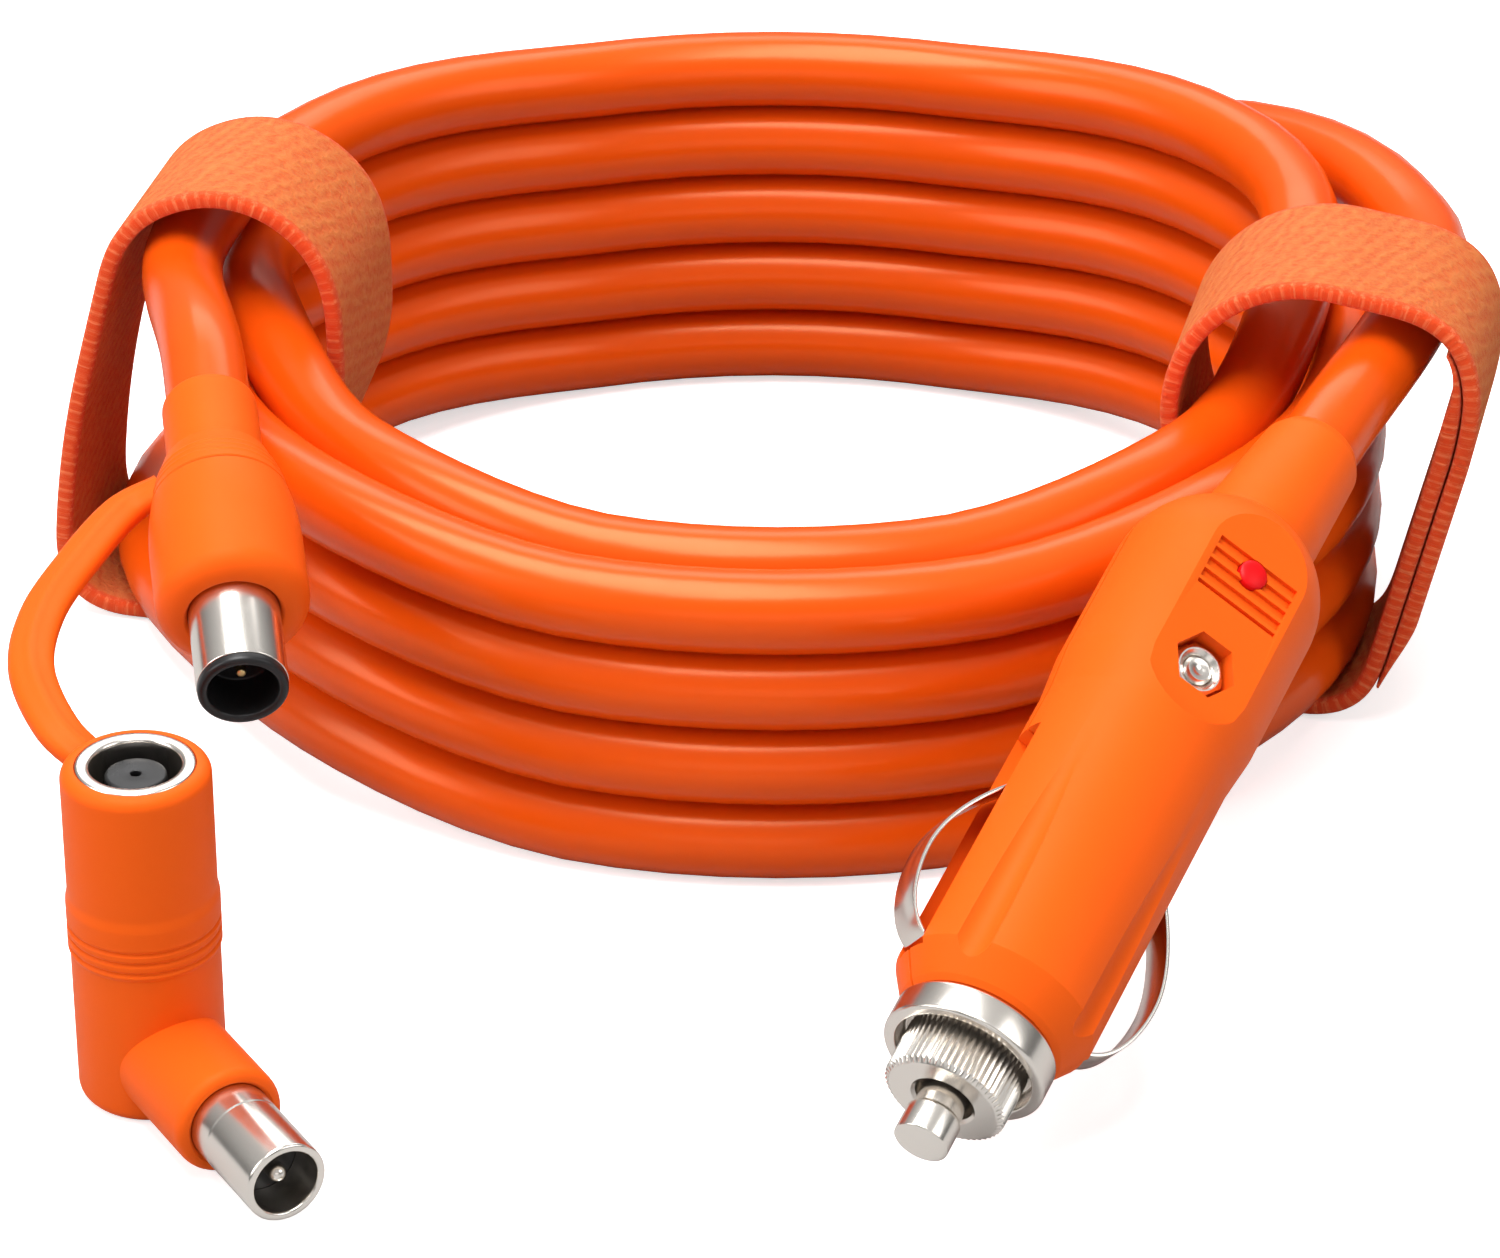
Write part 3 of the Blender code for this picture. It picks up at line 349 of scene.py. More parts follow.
BOARD = Finish("board", (0.02, 0.16, 0.05), (0.015, 0.12, 0.04), 0.45)
CORE_RED = Finish("core_red", (0.55, 0.012, 0.012), (0.48, 0.010, 0.010), 0.4)
CORE_BLACK = Finish("core_black", (0.015, 0.015, 0.016), (0.02, 0.02, 0.02), 0.4)
LENS = Finish("lens", (0.78, 0.003, 0.006), (0.66, 0.002, 0.004), 0.40, spread=0.05, specular=0.2)
GLASS = Finish("glass", (0.90, 0.94, 0.95), (0.88, 0.92, 0.93), 0.05, spread=0.02, transmission=0.9)
# The strap's second colour is painted shade, used where the pile and ribs lie low; the first colour is the
# lit pile.
STRAP = Finish("strap", (1.0, 0.270, 0.055), (0.90, 0.095, 0.008), 0.9, spread=0.05, sheen=0.3, specular=0.1)
# The edge's dark and light colours: a stitched loop pattern, with the light colour also laid on the raised
# pile as a painted highlight.
SELVEDGE_AND_GLINTS = ((0.86, 0.070, 0.010), (1.0, 0.25, 0.09))
RIB_STEP, LOOP_STEP = 1.7, 1.1  # the strap's ribs and its edge's loops, in millimetres


class Sheet:
    """A node tree with short calls for nodes and links."""

    def __init__(self, tree: bpy.types.NodeTree) -> None:
        self.tree = tree

    def add(self, kind: str, sockets: Optional[dict] = None, **settings) -> bpy.types.Node:
        """Adds a node, sets its properties, and sets or links its inputs."""
        node = self.tree.nodes.new(kind)
        for key, value in settings.items():
            setattr(node, key, value)
        for key, value in (sockets or {}).items():
            if isinstance(value, bpy.types.NodeSocket):
                self.tree.links.new(value, node.inputs[key])
            else:
                node.inputs[key].default_value = value
        return node

    def math(self, operation: str, *values) -> bpy.types.NodeSocket:
        """A Math node's result."""
        return self.add("ShaderNodeMath", dict(enumerate(values)), operation=operation).outputs[0]

    def colours(self, factor, one, two) -> bpy.types.NodeSocket:
        """A blend of two colours, each a triple or a socket."""
        ends = {key: (*end, 1.0) if isinstance(end, tuple) else end for key, end in ((6, one), (7, two))}
        return self.add("ShaderNodeMix", {0: factor, **ends}, data_type="RGBA").outputs[2]

    def values(self, factor, one, two) -> bpy.types.NodeSocket:
        """A blend of two values."""
        return self.add("ShaderNodeMix", {0: factor, 2: one, 3: two}).outputs[0]

    def noise(self, where, scale, detail: float, roughness: float = 0.5) -> bpy.types.NodeSocket:
        """A Noise Texture's factor."""
        inputs = {"Vector": where, "Scale": scale, "Detail": detail, "Roughness": roughness}
        return self.add("ShaderNodeTexNoise", inputs).outputs["Fac"]

    def ramp(self, value, low: float, high: float, start: float = 0.0,
             end: float = 1.0) -> bpy.types.NodeSocket:
        """A value taken from one range to another, and held at its ends."""
        inputs = {"Value": value, "From Min": low, "From Max": high, "To Min": start, "To Max": end}
        return self.add("ShaderNodeMapRange", inputs).outputs["Result"]

    def bump(self, height, distance: float, strength) -> bpy.types.NodeSocket:
        """A Bump node's normal."""
        inputs = {"Height": height, "Distance": distance, "Strength": strength}
        return self.add("ShaderNodeBump", inputs).outputs["Normal"]

    def feed(self, shader: bpy.types.Node, **sockets: bpy.types.NodeSocket) -> None:
        """Links sockets to a shader's inputs, named with _ for a space."""
        for name, socket in sockets.items():
            self.tree.links.new(socket, shader.inputs[name.replace("_", " ")])


def surface_group() -> bpy.types.NodeTree:
    """A shared effect: fine grain with slow variation, as a mask and a normal."""
    group = bpy.data.node_groups.new("moulded_surface", "ShaderNodeTree")
    for name, kind in (("Per Metre", "NodeSocketFloat"), ("Depth", "NodeSocketFloat")):
        group.interface.new_socket(name=name, in_out="INPUT", socket_type=kind)
    for name, kind in (("Mask", "NodeSocketFloat"), ("Normal", "NodeSocketVector")):
        group.interface.new_socket(name=name, in_out="OUTPUT", socket_type=kind)
    sheet = Sheet(group)
    given = sheet.add("NodeGroupInput")
    where = sheet.add("ShaderNodeTexCoord").outputs["Object"]
    fine = sheet.noise(where, given.outputs["Per Metre"], 3.0)
    slow = sheet.noise(where, 90.0, 2.0)
    mask = sheet.math("MULTIPLY_ADD", fine, 0.35, sheet.math("MULTIPLY", slow, 0.65))
    sheet.add("NodeGroupOutput", {"Mask": mask, "Normal": sheet.bump(fine, MM, given.outputs["Depth"])})
    return group


class Paint:
    """Builds each finish once."""

    def __init__(self) -> None:
        self.group = surface_group()
        self.made: dict[str, bpy.types.Material] = {}

    def __call__(self, finish: Finish) -> bpy.types.Material:
        """The material of a finish."""
        if finish.name not in self.made:
            self.made[finish.name] = self.strap(finish) if finish is STRAP else self.plain(finish)
        return self.made[finish.name]

    def base(self, finish: Finish) -> tuple[bpy.types.Material, Sheet, bpy.types.Node]:
        """An empty material with its shader's uniform values set."""
        material = bpy.data.materials.new(finish.name)
        material.use_nodes = True
        sheet = Sheet(material.node_tree)
        shader = material.node_tree.nodes["Principled BSDF"]
        for name, value in (
            ("Metallic", finish.metallic),
            ("Sheen Weight", finish.sheen),
            ("Sheen Roughness", 0.6),
            ("Sheen Tint", (*NAP_GLOW, 1.0)),
            ("Subsurface Weight", finish.subsurface),
            ("Subsurface Radius", RUBBER_DEPTH),
            ("Subsurface Scale", 1.2 * MM),
            ("Specular IOR Level", finish.specular),
            ("Specular Tint", (*finish.gloss, 1.0)),
            ("Transmission Weight", finish.transmission),
        ):
            shader.inputs[name].default_value = value
        return material, sheet, shader

    def plain(self, finish: Finish) -> bpy.types.Material:
        """Colour, roughness and bump from the shared surface effect."""
        material, sheet, shader = self.base(finish)
        effect = sheet.add("ShaderNodeGroup", node_tree=self.group)
        effect.inputs["Per Metre"].default_value = finish.grain_per_mm / MM
        effect.inputs["Depth"].default_value = finish.grain_depth
        mask, rough, spread = effect.outputs["Mask"], finish.roughness, finish.spread
        sheet.feed(
            shader,
            Base_Color=sheet.colours(mask, finish.colour, finish.tint),
            Roughness=sheet.ramp(mask, 0.3, 0.7, rough - spread, rough + spread),
            Normal=effect.outputs["Normal"],
        )
        return material

    def strap(self, finish: Finish) -> bpy.types.Material:
        """Napped pile in fine slanting ribs, with looped edges, on the strap's own UV map in millimetres. The
        cloth is darkened where the pile and ribs lie low, as painted shade, and the edge's loops are lighter
        where the pile stands high, partly as painted highlight.
        """
        material, sheet, shader = self.base(finish)
        uv = sheet.add("ShaderNodeUVMap", uv_map="strap").outputs["UV"]
        split = sheet.add("ShaderNodeSeparateXYZ", {"Vector": uv})
        along, across = split.outputs["X"], split.outputs["Y"]
        bend = sheet.noise(uv, 0.5, 2.0)
        pile = sheet.noise(uv, 2.4, 6.0, 0.75)
        tufts = sheet.add("ShaderNodeTexVoronoi", {"Vector": uv, "Scale": 1.2}).outputs["Distance"]
        slant = sheet.math("MULTIPLY_ADD", across, 1.3, sheet.math("MULTIPLY", bend, 9.0))
        phase = sheet.math("MULTIPLY_ADD", along, 2 * math.pi / RIB_STEP, slant)
        ribs = sheet.math("MULTIPLY_ADD", sheet.math("SINE", phase), 0.5, 0.5)
        edge = sheet.ramp(sheet.math("ABSOLUTE", across), 8.9, 9.5)
        fuzz = sheet.math("MULTIPLY_ADD", pile, 0.6, 0.1)
        deep = sheet.math("MULTIPLY_ADD", pile, 1.3, sheet.math("MULTIPLY_ADD", tufts, 0.35, -0.35))
        height = sheet.values(edge, sheet.math("MULTIPLY_ADD", ribs, 0.22, deep), fuzz)
        # Painted shade: the cloth's colour goes darker where its height is low.
        painted_shade = sheet.ramp(height, 0.25, 0.85)
        stitch = sheet.math("SINE", sheet.math("MULTIPLY", along, 2 * math.pi / LOOP_STEP))
        # Stitch pattern plus painted highlight: the loops' light colour mostly follows the raised pile.
        loops = sheet.ramp(sheet.math("MULTIPLY_ADD", stitch, 0.07, pile), 0.50, 0.68)
        shaded_cloth = sheet.colours(painted_shade, finish.tint, finish.colour)
        colour = sheet.colours(edge, shaded_cloth, sheet.colours(loops, *SELVEDGE_AND_GLINTS))
        sheet.feed(shader, Base_Color=colour, Normal=sheet.bump(height, 0.7 * MM, 0.9))
        shader.inputs["Roughness"].default_value = finish.roughness
        return material


# ---------------------------------------------------------------- cable


@dataclass(frozen=True)
class CableSizes:
    """The round two-core cable and its coil; the route follows the CAD part's formula."""

    diameter: float = 8.4
    solid_diameter: float = 8.0
    pitch: float = 8.6
    middle: tuple[float, float] = (3.6, -1.0)
    radius_x: float = 60.5
    radius_y: float = 54.5
    turn_from: float = -60.0
    turn_to: float = 1875.0
    points_per_turn: int = 72
    end_step: float = 0.4
    top_level: int = 4
    swap_half: float = 34.0
    lift: float = 2.3
    lift_from: float = 0.30
    lift_to: float = 0.80
    climb_from: float = 1750.0
    climb_levels: float = 3.9
    straight: float = 5.0
    slacken: float = 0.8
    tuck: float = 0.4


# Degrees before the coil's start, and how the lead is moved clear of the strand below.
OVER_TOP = ((16.0, (-0.4, 0.0, 2.0)), (35.0, (-1.6, 0.0, 1.4)))


class CoilRoute:
    """The strand's centre line, by the angle travelled clockwise from the middle of the far side."""

    def __init__(self, sizes: CableSizes) -> None:
        self.s = sizes

    def lift_at(self, angle: float) -> float:
        """What the straps underneath raise the strands by."""
        ease = (abs(math.cos(angle)) - self.s.lift_from) / (self.s.lift_to - self.s.lift_from)
        return self.s.lift * smoothstep(ease)

    def swap(self, travelled: float, middle: float) -> float:
        """A quarter turn, in radians, made while strands change places."""
        half = self.s.swap_half
        return math.radians(90.0 * smoothstep((travelled - middle + half) / (2 * half)))

    def offset(self, travelled: float) -> tuple[float, float]:
        """(outward, level) of the strand, in pitches."""
        top = self.s.top_level
        first_left, last_left = 270.0, 270.0 + 360.0 * top
        if travelled < 180.0:
            turned = self.swap(travelled, 90.0)
            return -math.sin(turned), top - 1 + math.cos(turned)
        if travelled < 450.0:
            turned = self.swap(travelled, first_left)
            return -math.cos(turned), top - 2 + math.cos(turned) + math.sin(turned)
        if travelled > last_left - 90.0:
            ease = (travelled - self.s.climb_from) / (self.s.turn_to - self.s.climb_from)
            return math.sin(self.swap(travelled, last_left)), self.s.climb_levels * smoothstep(ease)
        falls = [1.0 - math.cos(self.swap(travelled, first_left + 360.0 * k)) for k in range(1, top)]
        return 0.0, top - 1 - sum(falls)

    def point(self, travelled: float) -> Vector:
        """A point of the centre line, in millimetres about the coil's axis."""
        outward, level = self.offset(travelled)
        angle = math.radians(90.0 - travelled)
        reach = outward * self.s.pitch
        z = self.s.solid_diameter / 2 + level * self.s.pitch + self.lift_at(angle)
        x, y = (self.s.radius_x + reach) * math.cos(angle), (self.s.radius_y + reach) * math.sin(angle)
        return Vector((self.s.middle[0] + x, self.s.middle[1] + y, z))

    def points(self) -> list[Vector]:
        """The whole coil's centre line, with short end steps, so that its ends are cut square."""
        first, last, short = self.s.turn_from, self.s.turn_to, self.s.end_step
        count = round((last - first) * self.s.points_per_turn / 360.0)
        stations = [first + (last - first) * k / count for k in range(count + 1)]
        return [self.point(station) for station in sorted([*stations, first + short, last - short])]

    def heading(self, travelled: float) -> Vector:
        """The direction of travel."""
        return (self.point(travelled + 0.5) - self.point(travelled - 0.5)).normalized()


Knot = tuple[Vector, Vector]


def lead_route(start: Knot, vias: Sequence[Knot], end: Knot, straight: float,
               ease: float = 1.0) -> list[Vector]:
    """A route through knots, each a (point, direction), with a straight piece at each end."""
    (first, leave), (last, arrive) = start, end
    knots = [(first + leave * straight, leave), *vias, (last - arrive * straight, arrive)]
    route = [first, first + leave * straight / 2]
    for (one, out), (two, into) in zip(knots, knots[1:]):
        pull = (two - one).length * ease
        route += hermite(one, out * pull, two, into * pull, 12)[:-1]
    return [*route, knots[-1][0], last - arrive * straight / 2, last]


class Cable:
    """One cable in three pieces: the coil and the two leads that leave it."""

    def __init__(self, sizes: CableSizes, paint: Paint) -> None:
        self.s = sizes
        self.paint = paint
        self.route = CoilRoute(sizes)

    def tube(self, name: str, route: Sequence[Vector]) -> Piece:
        """A round tube along a route about the coil's axis, as a curve with a filled bevel."""
        curve = bpy.data.curves.new(name, "CURVE")
        curve.dimensions = "3D"
        curve.bevel_depth = self.s.diameter / 2 * MM
        curve.bevel_resolution = 10
        curve.use_fill_caps = True
        curve.materials.append(self.paint(JACKET))
        line = curve.splines.new("POLY")
        line.use_smooth = True
        line.points.add(len(route) - 1)
        for spot, point in zip(line.points, route):
            spot.co = (*(ROW.point(point) * MM), 1.0)
        made = bpy.data.objects.new(name, curve)
        bpy.context.collection.objects.link(made)
        return made

    def build(self, dc_place: Place, boot_end: Vector, boot_aim: Vector) -> list[list[Vector]]:
        """Makes the coil and both leads, and returns their routes.

        Args:
            dc_place: the DC connector's place, whose origin is the cable's end of the neck.
            boot_end: where the cable meets the plug's boot, in the row frame in millimetres.
            boot_aim: the direction from there into the plug.
        """
        s = self.s
        wound = self.route.points()
        travel_in, travel_out = self.route.heading(s.turn_from), self.route.heading(s.turn_to)
        aimed = dc_place.axis((0, 0, 1))
        over = []
        for before, lifted in reversed(OVER_TOP):
            spot = s.turn_from - before
            over.append((self.route.point(spot) + Vector(lifted), self.route.heading(spot)))
        neck, boot = dc_place.origin - SHIFT + aimed * s.tuck, boot_end - SHIFT + boot_aim * s.tuck
        to_dc = lead_route((neck, -aimed), over, (wound[0], travel_in), s.straight)
        to_plug = lead_route((wound[-1], travel_out), [], (boot, boot_aim), s.straight, s.slacken)
        for name, route, node, lay in (
            ("jacket_lead_dc", to_dc, "cord_lead_dc", "loose"),
            ("jacket_coil", wound, "cord_coil", "coiled"),
            ("jacket_lead_plug", to_plug, "cord_lead_plug", "loose"),
        ):
            piece = self.tube(name, route)
            stands_for(piece, Body.LEAD, node)
        return [to_dc, wound, to_plug]


# ---------------------------------------------------------------- straps


@dataclass(frozen=True)
class StrapSizes:
    """A hook-and-loop strap pulled round the stack of strands."""

    width: float = 20.0
    thick: float = 1.8
    slack: float = 1.0
    arch: float = 2.6
    reach: float = 16.0
    crown: float = 16.0
    belly: float = 1.8
    soften: int = 8
    rise: float = 0.10
    gap: float = 0.15
    floor_gap: float = 0.3
    round_edge: float = 0.7
    tip: float = 0.2
    fade: float = 14.0
    steps: int = 260


def hull(spots: Sequence[tuple[float, float]]) -> list[tuple[float, float]]:
    """The convex outline of some points, anticlockwise."""
    ordered = sorted(set(spots))

    def half(points: Iterable[tuple[float, float]]) -> list[tuple[float, float]]:
        kept: list[tuple[float, float]] = []
        for point in points:
            while len(kept) > 1:
                (ax, ay), (bx, by) = kept[-2], kept[-1]
                if (bx - ax) * (point[1] - ay) - (by - ay) * (point[0] - ax) > 0:
                    break
                kept.pop()
            kept.append(point)
        return kept[:-1]

    return half(ordered) + half(reversed(ordered))


class Strap:
    """One strap: pulled tight round the strands that pass through it, with its tail lapped over outside."""

    ROUND = 240

    def __init__(self, sizes: StrapSizes, coil: CableSizes, routes: Sequence[Sequence[Vector]],
                 paint: Paint) -> None:
        self.s = sizes
        self.coil = coil
        self.routes = routes
        self.paint = paint

    def strands(self, foot: Vector, out: Vector, along: Vector) -> Profile:
        """Circles (outward, up) round the strands within the strap's width, a little larger than they are."""
        s = self.s
        circle = polygon(self.coil.diameter / 2 + s.slack, 40)
        spots = []
        for route in self.routes:
            for one, two in zip(route, route[1:]):
                for local in (one - foot, one.lerp(two, 0.5) - foot):
                    across = local.dot(out)
                    if abs(local.dot(along)) < s.width / 2 + 0.5 and abs(across) < s.reach:
                        spots += [(across + x, max(local.z + y, s.thick + s.floor_gap)) for x, y in circle]
        return spots

    def wrapped(self, spots: Profile) -> list[Vector]:
        """The closed outline round the strands, with an arched top and an outer side that bellies out."""
        s = self.s
        rise = max(z for _, z in spots) + s.arch
        crown = [x for x, z in spots if z > rise - s.crown]
        left, right = min(crown), max(crown)
        middle, half = (left + right) / 2, (right - left) / 2
        for k in range(61):
            a = math.pi * k / 60
            spots.append((middle + half * math.cos(a), rise - half * (1 - math.sin(a))))
        shoulder = Vector((middle + half * math.cos(0.6), rise - half * (1 - math.sin(0.6))))
        heel = Vector(max((spot for spot in spots if spot[1] < s.crown), key=lambda spot: spot[0]))
        way = heel - shoulder
        normal = Vector((-way.y, way.x)).normalized()
        for k in range(21):
            t = k / 20
            spots.append(tuple(shoulder + way * t + normal * s.belly * 4 * t * (1 - t)))
        return [Vector(spot) for spot in hull(spots)]

    def outline(self, foot: Vector, out: Vector, along: Vector, tail: float, lap: float,
                inside: bool) -> list[Vector]:
        """Points (outward, up) of the inner face, evenly spaced along the strap."""
        s, count, flip = self.s, self.ROUND, -1 if inside else 1
        hull = self.wrapped(self.strands(foot, out, along))
        loop = [Vector((flip * spot.x, spot.y)) for spot in hull][::flip]
        middle = sum(loop, Vector((0, 0))) / len(loop)
        aims = [abs(math.degrees(math.atan2(*(spot - middle).yx)) - tail) for spot in loop]
        first = aims.index(min(aims))
        loop = evenly([*loop[first:], *loop[:first], loop[first]], count)[:-1]
        span = range(-s.soften, s.soften + 1)
        loop = [sum((loop[(k + j) % count] for j in span), Vector((0, 0))) / len(span) for k in range(count)]
        line = []
        for k in range(round(count * (1 + lap)) + 1):
            way = (loop[(k + 1) % count] - loop[(k - 1) % count]).normalized()
            grow = (s.thick + s.gap) * (1 - smoothstep((k / count - lap) / s.rise))
            spot = loop[k % count] + Vector((way.y, -way.x)) * grow
            line.append(Vector((flip * spot.x, spot.y)))
        return evenly(line[::flip], s.steps)

    def section(self) -> list[tuple[float, float]]:
        """(across, height) round the strap's own section, with rounded edges."""
        s = self.s
        half, r = s.width / 2, s.round_edge
        corners = [(-half, 0.0), (half, 0.0), (half, s.thick), (-half, s.thick)]
        rounded = fillet(corners, dict.fromkeys(range(4), r), 4)
        dense = []
        for (x, y), (next_x, next_y) in zip(rounded, rounded[1:] + rounded[:1]):
            count = max(1, round(abs(next_x - x) / 0.9))
            dense += [(x + (next_x - x) * k / count, y + (next_y - y) * k / count) for k in range(count)]
        return dense

    def build(self, name: str, node: str, turn: float, skew: float, tail: float, lap: float,
              inside: bool = False) -> None:
        """Makes a strap at an angle round the coil.

        Args:
            name: the object's name.
            node: the CAD node it replaces.
            turn: the angle round the coil, in degrees.
            skew: how far the strap is turned from square to the cable, in degrees.
            tail: the direction from the loop's middle to the tail's end, in degrees above the outward side.
            lap: how far the tail lies over the strap, as a share of the way round.
            inside: the tail lies on the coil's inner side.
        """
        s, angle = self.s, math.radians(turn)
        rx, ry = self.coil.radius_x, self.coil.radius_y
        along = Vector((-rx * math.sin(angle), ry * math.cos(angle), 0)).normalized()
        along.rotate(Matrix.Rotation(math.radians(skew), 3, "Z"))
        out = along.cross(Vector((0, 0, 1)))
        foot = Vector((*self.coil.middle, 0)) + Vector((rx * math.cos(angle), ry * math.sin(angle), 0))
        line = self.outline(foot, out, along, tail, lap, inside)
        bm = bmesh.new()
        layer = bm.loops.layers.uv.new("strap")
        shape = self.section()
        rings, stations, walked = [], [], 0.0
        last = len(line) - 1
        for k, spot in enumerate(line):
            way = (line[min(k + 1, last)] - line[max(k - 1, 0)]).normalized()
            normal = Vector((way.y, -way.x))
            ring = []
            outer, inner = ((last - k, k) if inside else (k, last - k))
            outer, inner = (s.tip + (1 - s.tip) * smoothstep(steps / s.fade) for steps in (outer, inner))
            for across, height in shape:
                flat = spot + normal * (s.thick - (s.thick - height * outer) * inner)
                ring.append(bm.verts.new(foot + out * flat.x + Vector((0, 0, flat.y)) + along * across))
            rings.append(ring)
            walked += (spot - line[k - 1]).length if k else 0.0
            stations.append(walked)
        count = len(shape)
        spots = []
        for k in range(last):
            for j in range(count):
                n = (j + 1) % count
                spots.append([(k, j), (k, n), (k + 1, n), (k + 1, j)])
        spots += [[(k, j) for j in range(count)] for k in (0, last)]
        for corners in spots:
            face = bm.faces.new([rings[row][column] for row, column in corners])
            for loop, (row, column) in zip(face.loops, corners):
                loop[layer].uv = (stations[row], shape[column][0])
        piece = Forge(ROW).build(name, bm, self.paint(STRAP), 50)
        stands_for(piece, Body.LEAD, node)


def evenly(line: Sequence[Vector], count: int) -> list[Vector]:
    """Points at equal steps along a fine line."""
    walked = [0.0]
    for one, two in zip(line, line[1:]):
        walked.append(walked[-1] + (two - one).length)
    made, at = [], 0
    for k in range(count + 1):
        goal = walked[-1] * k / count
        while at < len(line) - 2 and walked[at + 1] < goal:
            at += 1
        t = (goal - walked[at]) / max(walked[at + 1] - walked[at], 1e-9)
        made.append(line[at].lerp(line[at + 1], min(max(t, 0.0), 1.0)))
    return made



# ---------------------------------------------------------------- car plug


@dataclass(frozen=True)
class PlugSizes:
    """The car plug, with stations along its axis: 0 at the shell's front face, + towards the pin's tip."""

    gap: float = 0.3
    run: float = 0.25
    shell_r: float = 9.9
    nose_r: float = 8.05
    chamfer: float = 3.5
    head_r: float = 10.4
    head_centre: float = -55.6
    barrel_end: float = -36.0
    flat_y: float = 8.9
    flat_front: float = -36.0
    flat_half: float = 6.4
    flat_round: float = 8.0
    flat_length: float = 40.0
    groove_w: tuple[float, ...] = (1.0, 1.0, 1.0, 1.0, 0.45)
    groove_pitch: float = 1.42
    groove_half: float = 4.6
    groove_depth: float = 0.5
    groove_from: float = -55.9
    lens_z: float = -54.4
    lens_r: float = 1.5
    screw_z: float = -42.5
    nut_flats: float = 5.0
    nut_h: float = 2.0
    nut_pocket_flats: float = 5.9
    nut_pocket_depth: float = 3.3
    screw_r: float = 1.45
    screw_head_r: float = 2.8
    screw_seat: float = -7.2
    flute_r: float = 2.3
    flute_depth: float = 0.95
    flute_angle: float = 42.0
    flute_from: float = -34.0
    bore_r: float = 4.9
    bore_end: float = -39.4
    socket_r: float = 6.3
    slot_floor: float = 6.0
    side_w: float = 4.0
    side_t: float = 0.4
    side_root: tuple[float, float] = (7.2, -31.0)
    side_bend: tuple[float, float] = (7.2, -25.5)
    side_bow: tuple[float, float] = (13.2, -12.5)
    side_tip: tuple[float, float] = (9.4, -4.2)
    boot_r: float = 6.0
    boot_end_r: float = 5.0
    boot_length: float = 24.2
    cup_r: float = 8.0
    cup_length: float = 3.3
    cup_recess_r: float = 6.8
    cup_recess: float = 2.0
    cap_r: float = 6.0
    cap_to: float = 8.0
    cap_teeth: int = 56
    cap_step: float = 4.8
    cap_bevel: float = 0.45
    cap_tooth: float = 0.42
    cap_stem_r: float = 4.5
    cap_stem_end: float = -9.0
    cap_hole_r: float = 2.9
    cap_bore_r: float = 3.5
    pin_r: float = 2.3
    pin_tip_r: float = 2.65
    pin_tip: float = 13.0
    flange: float = 2.2


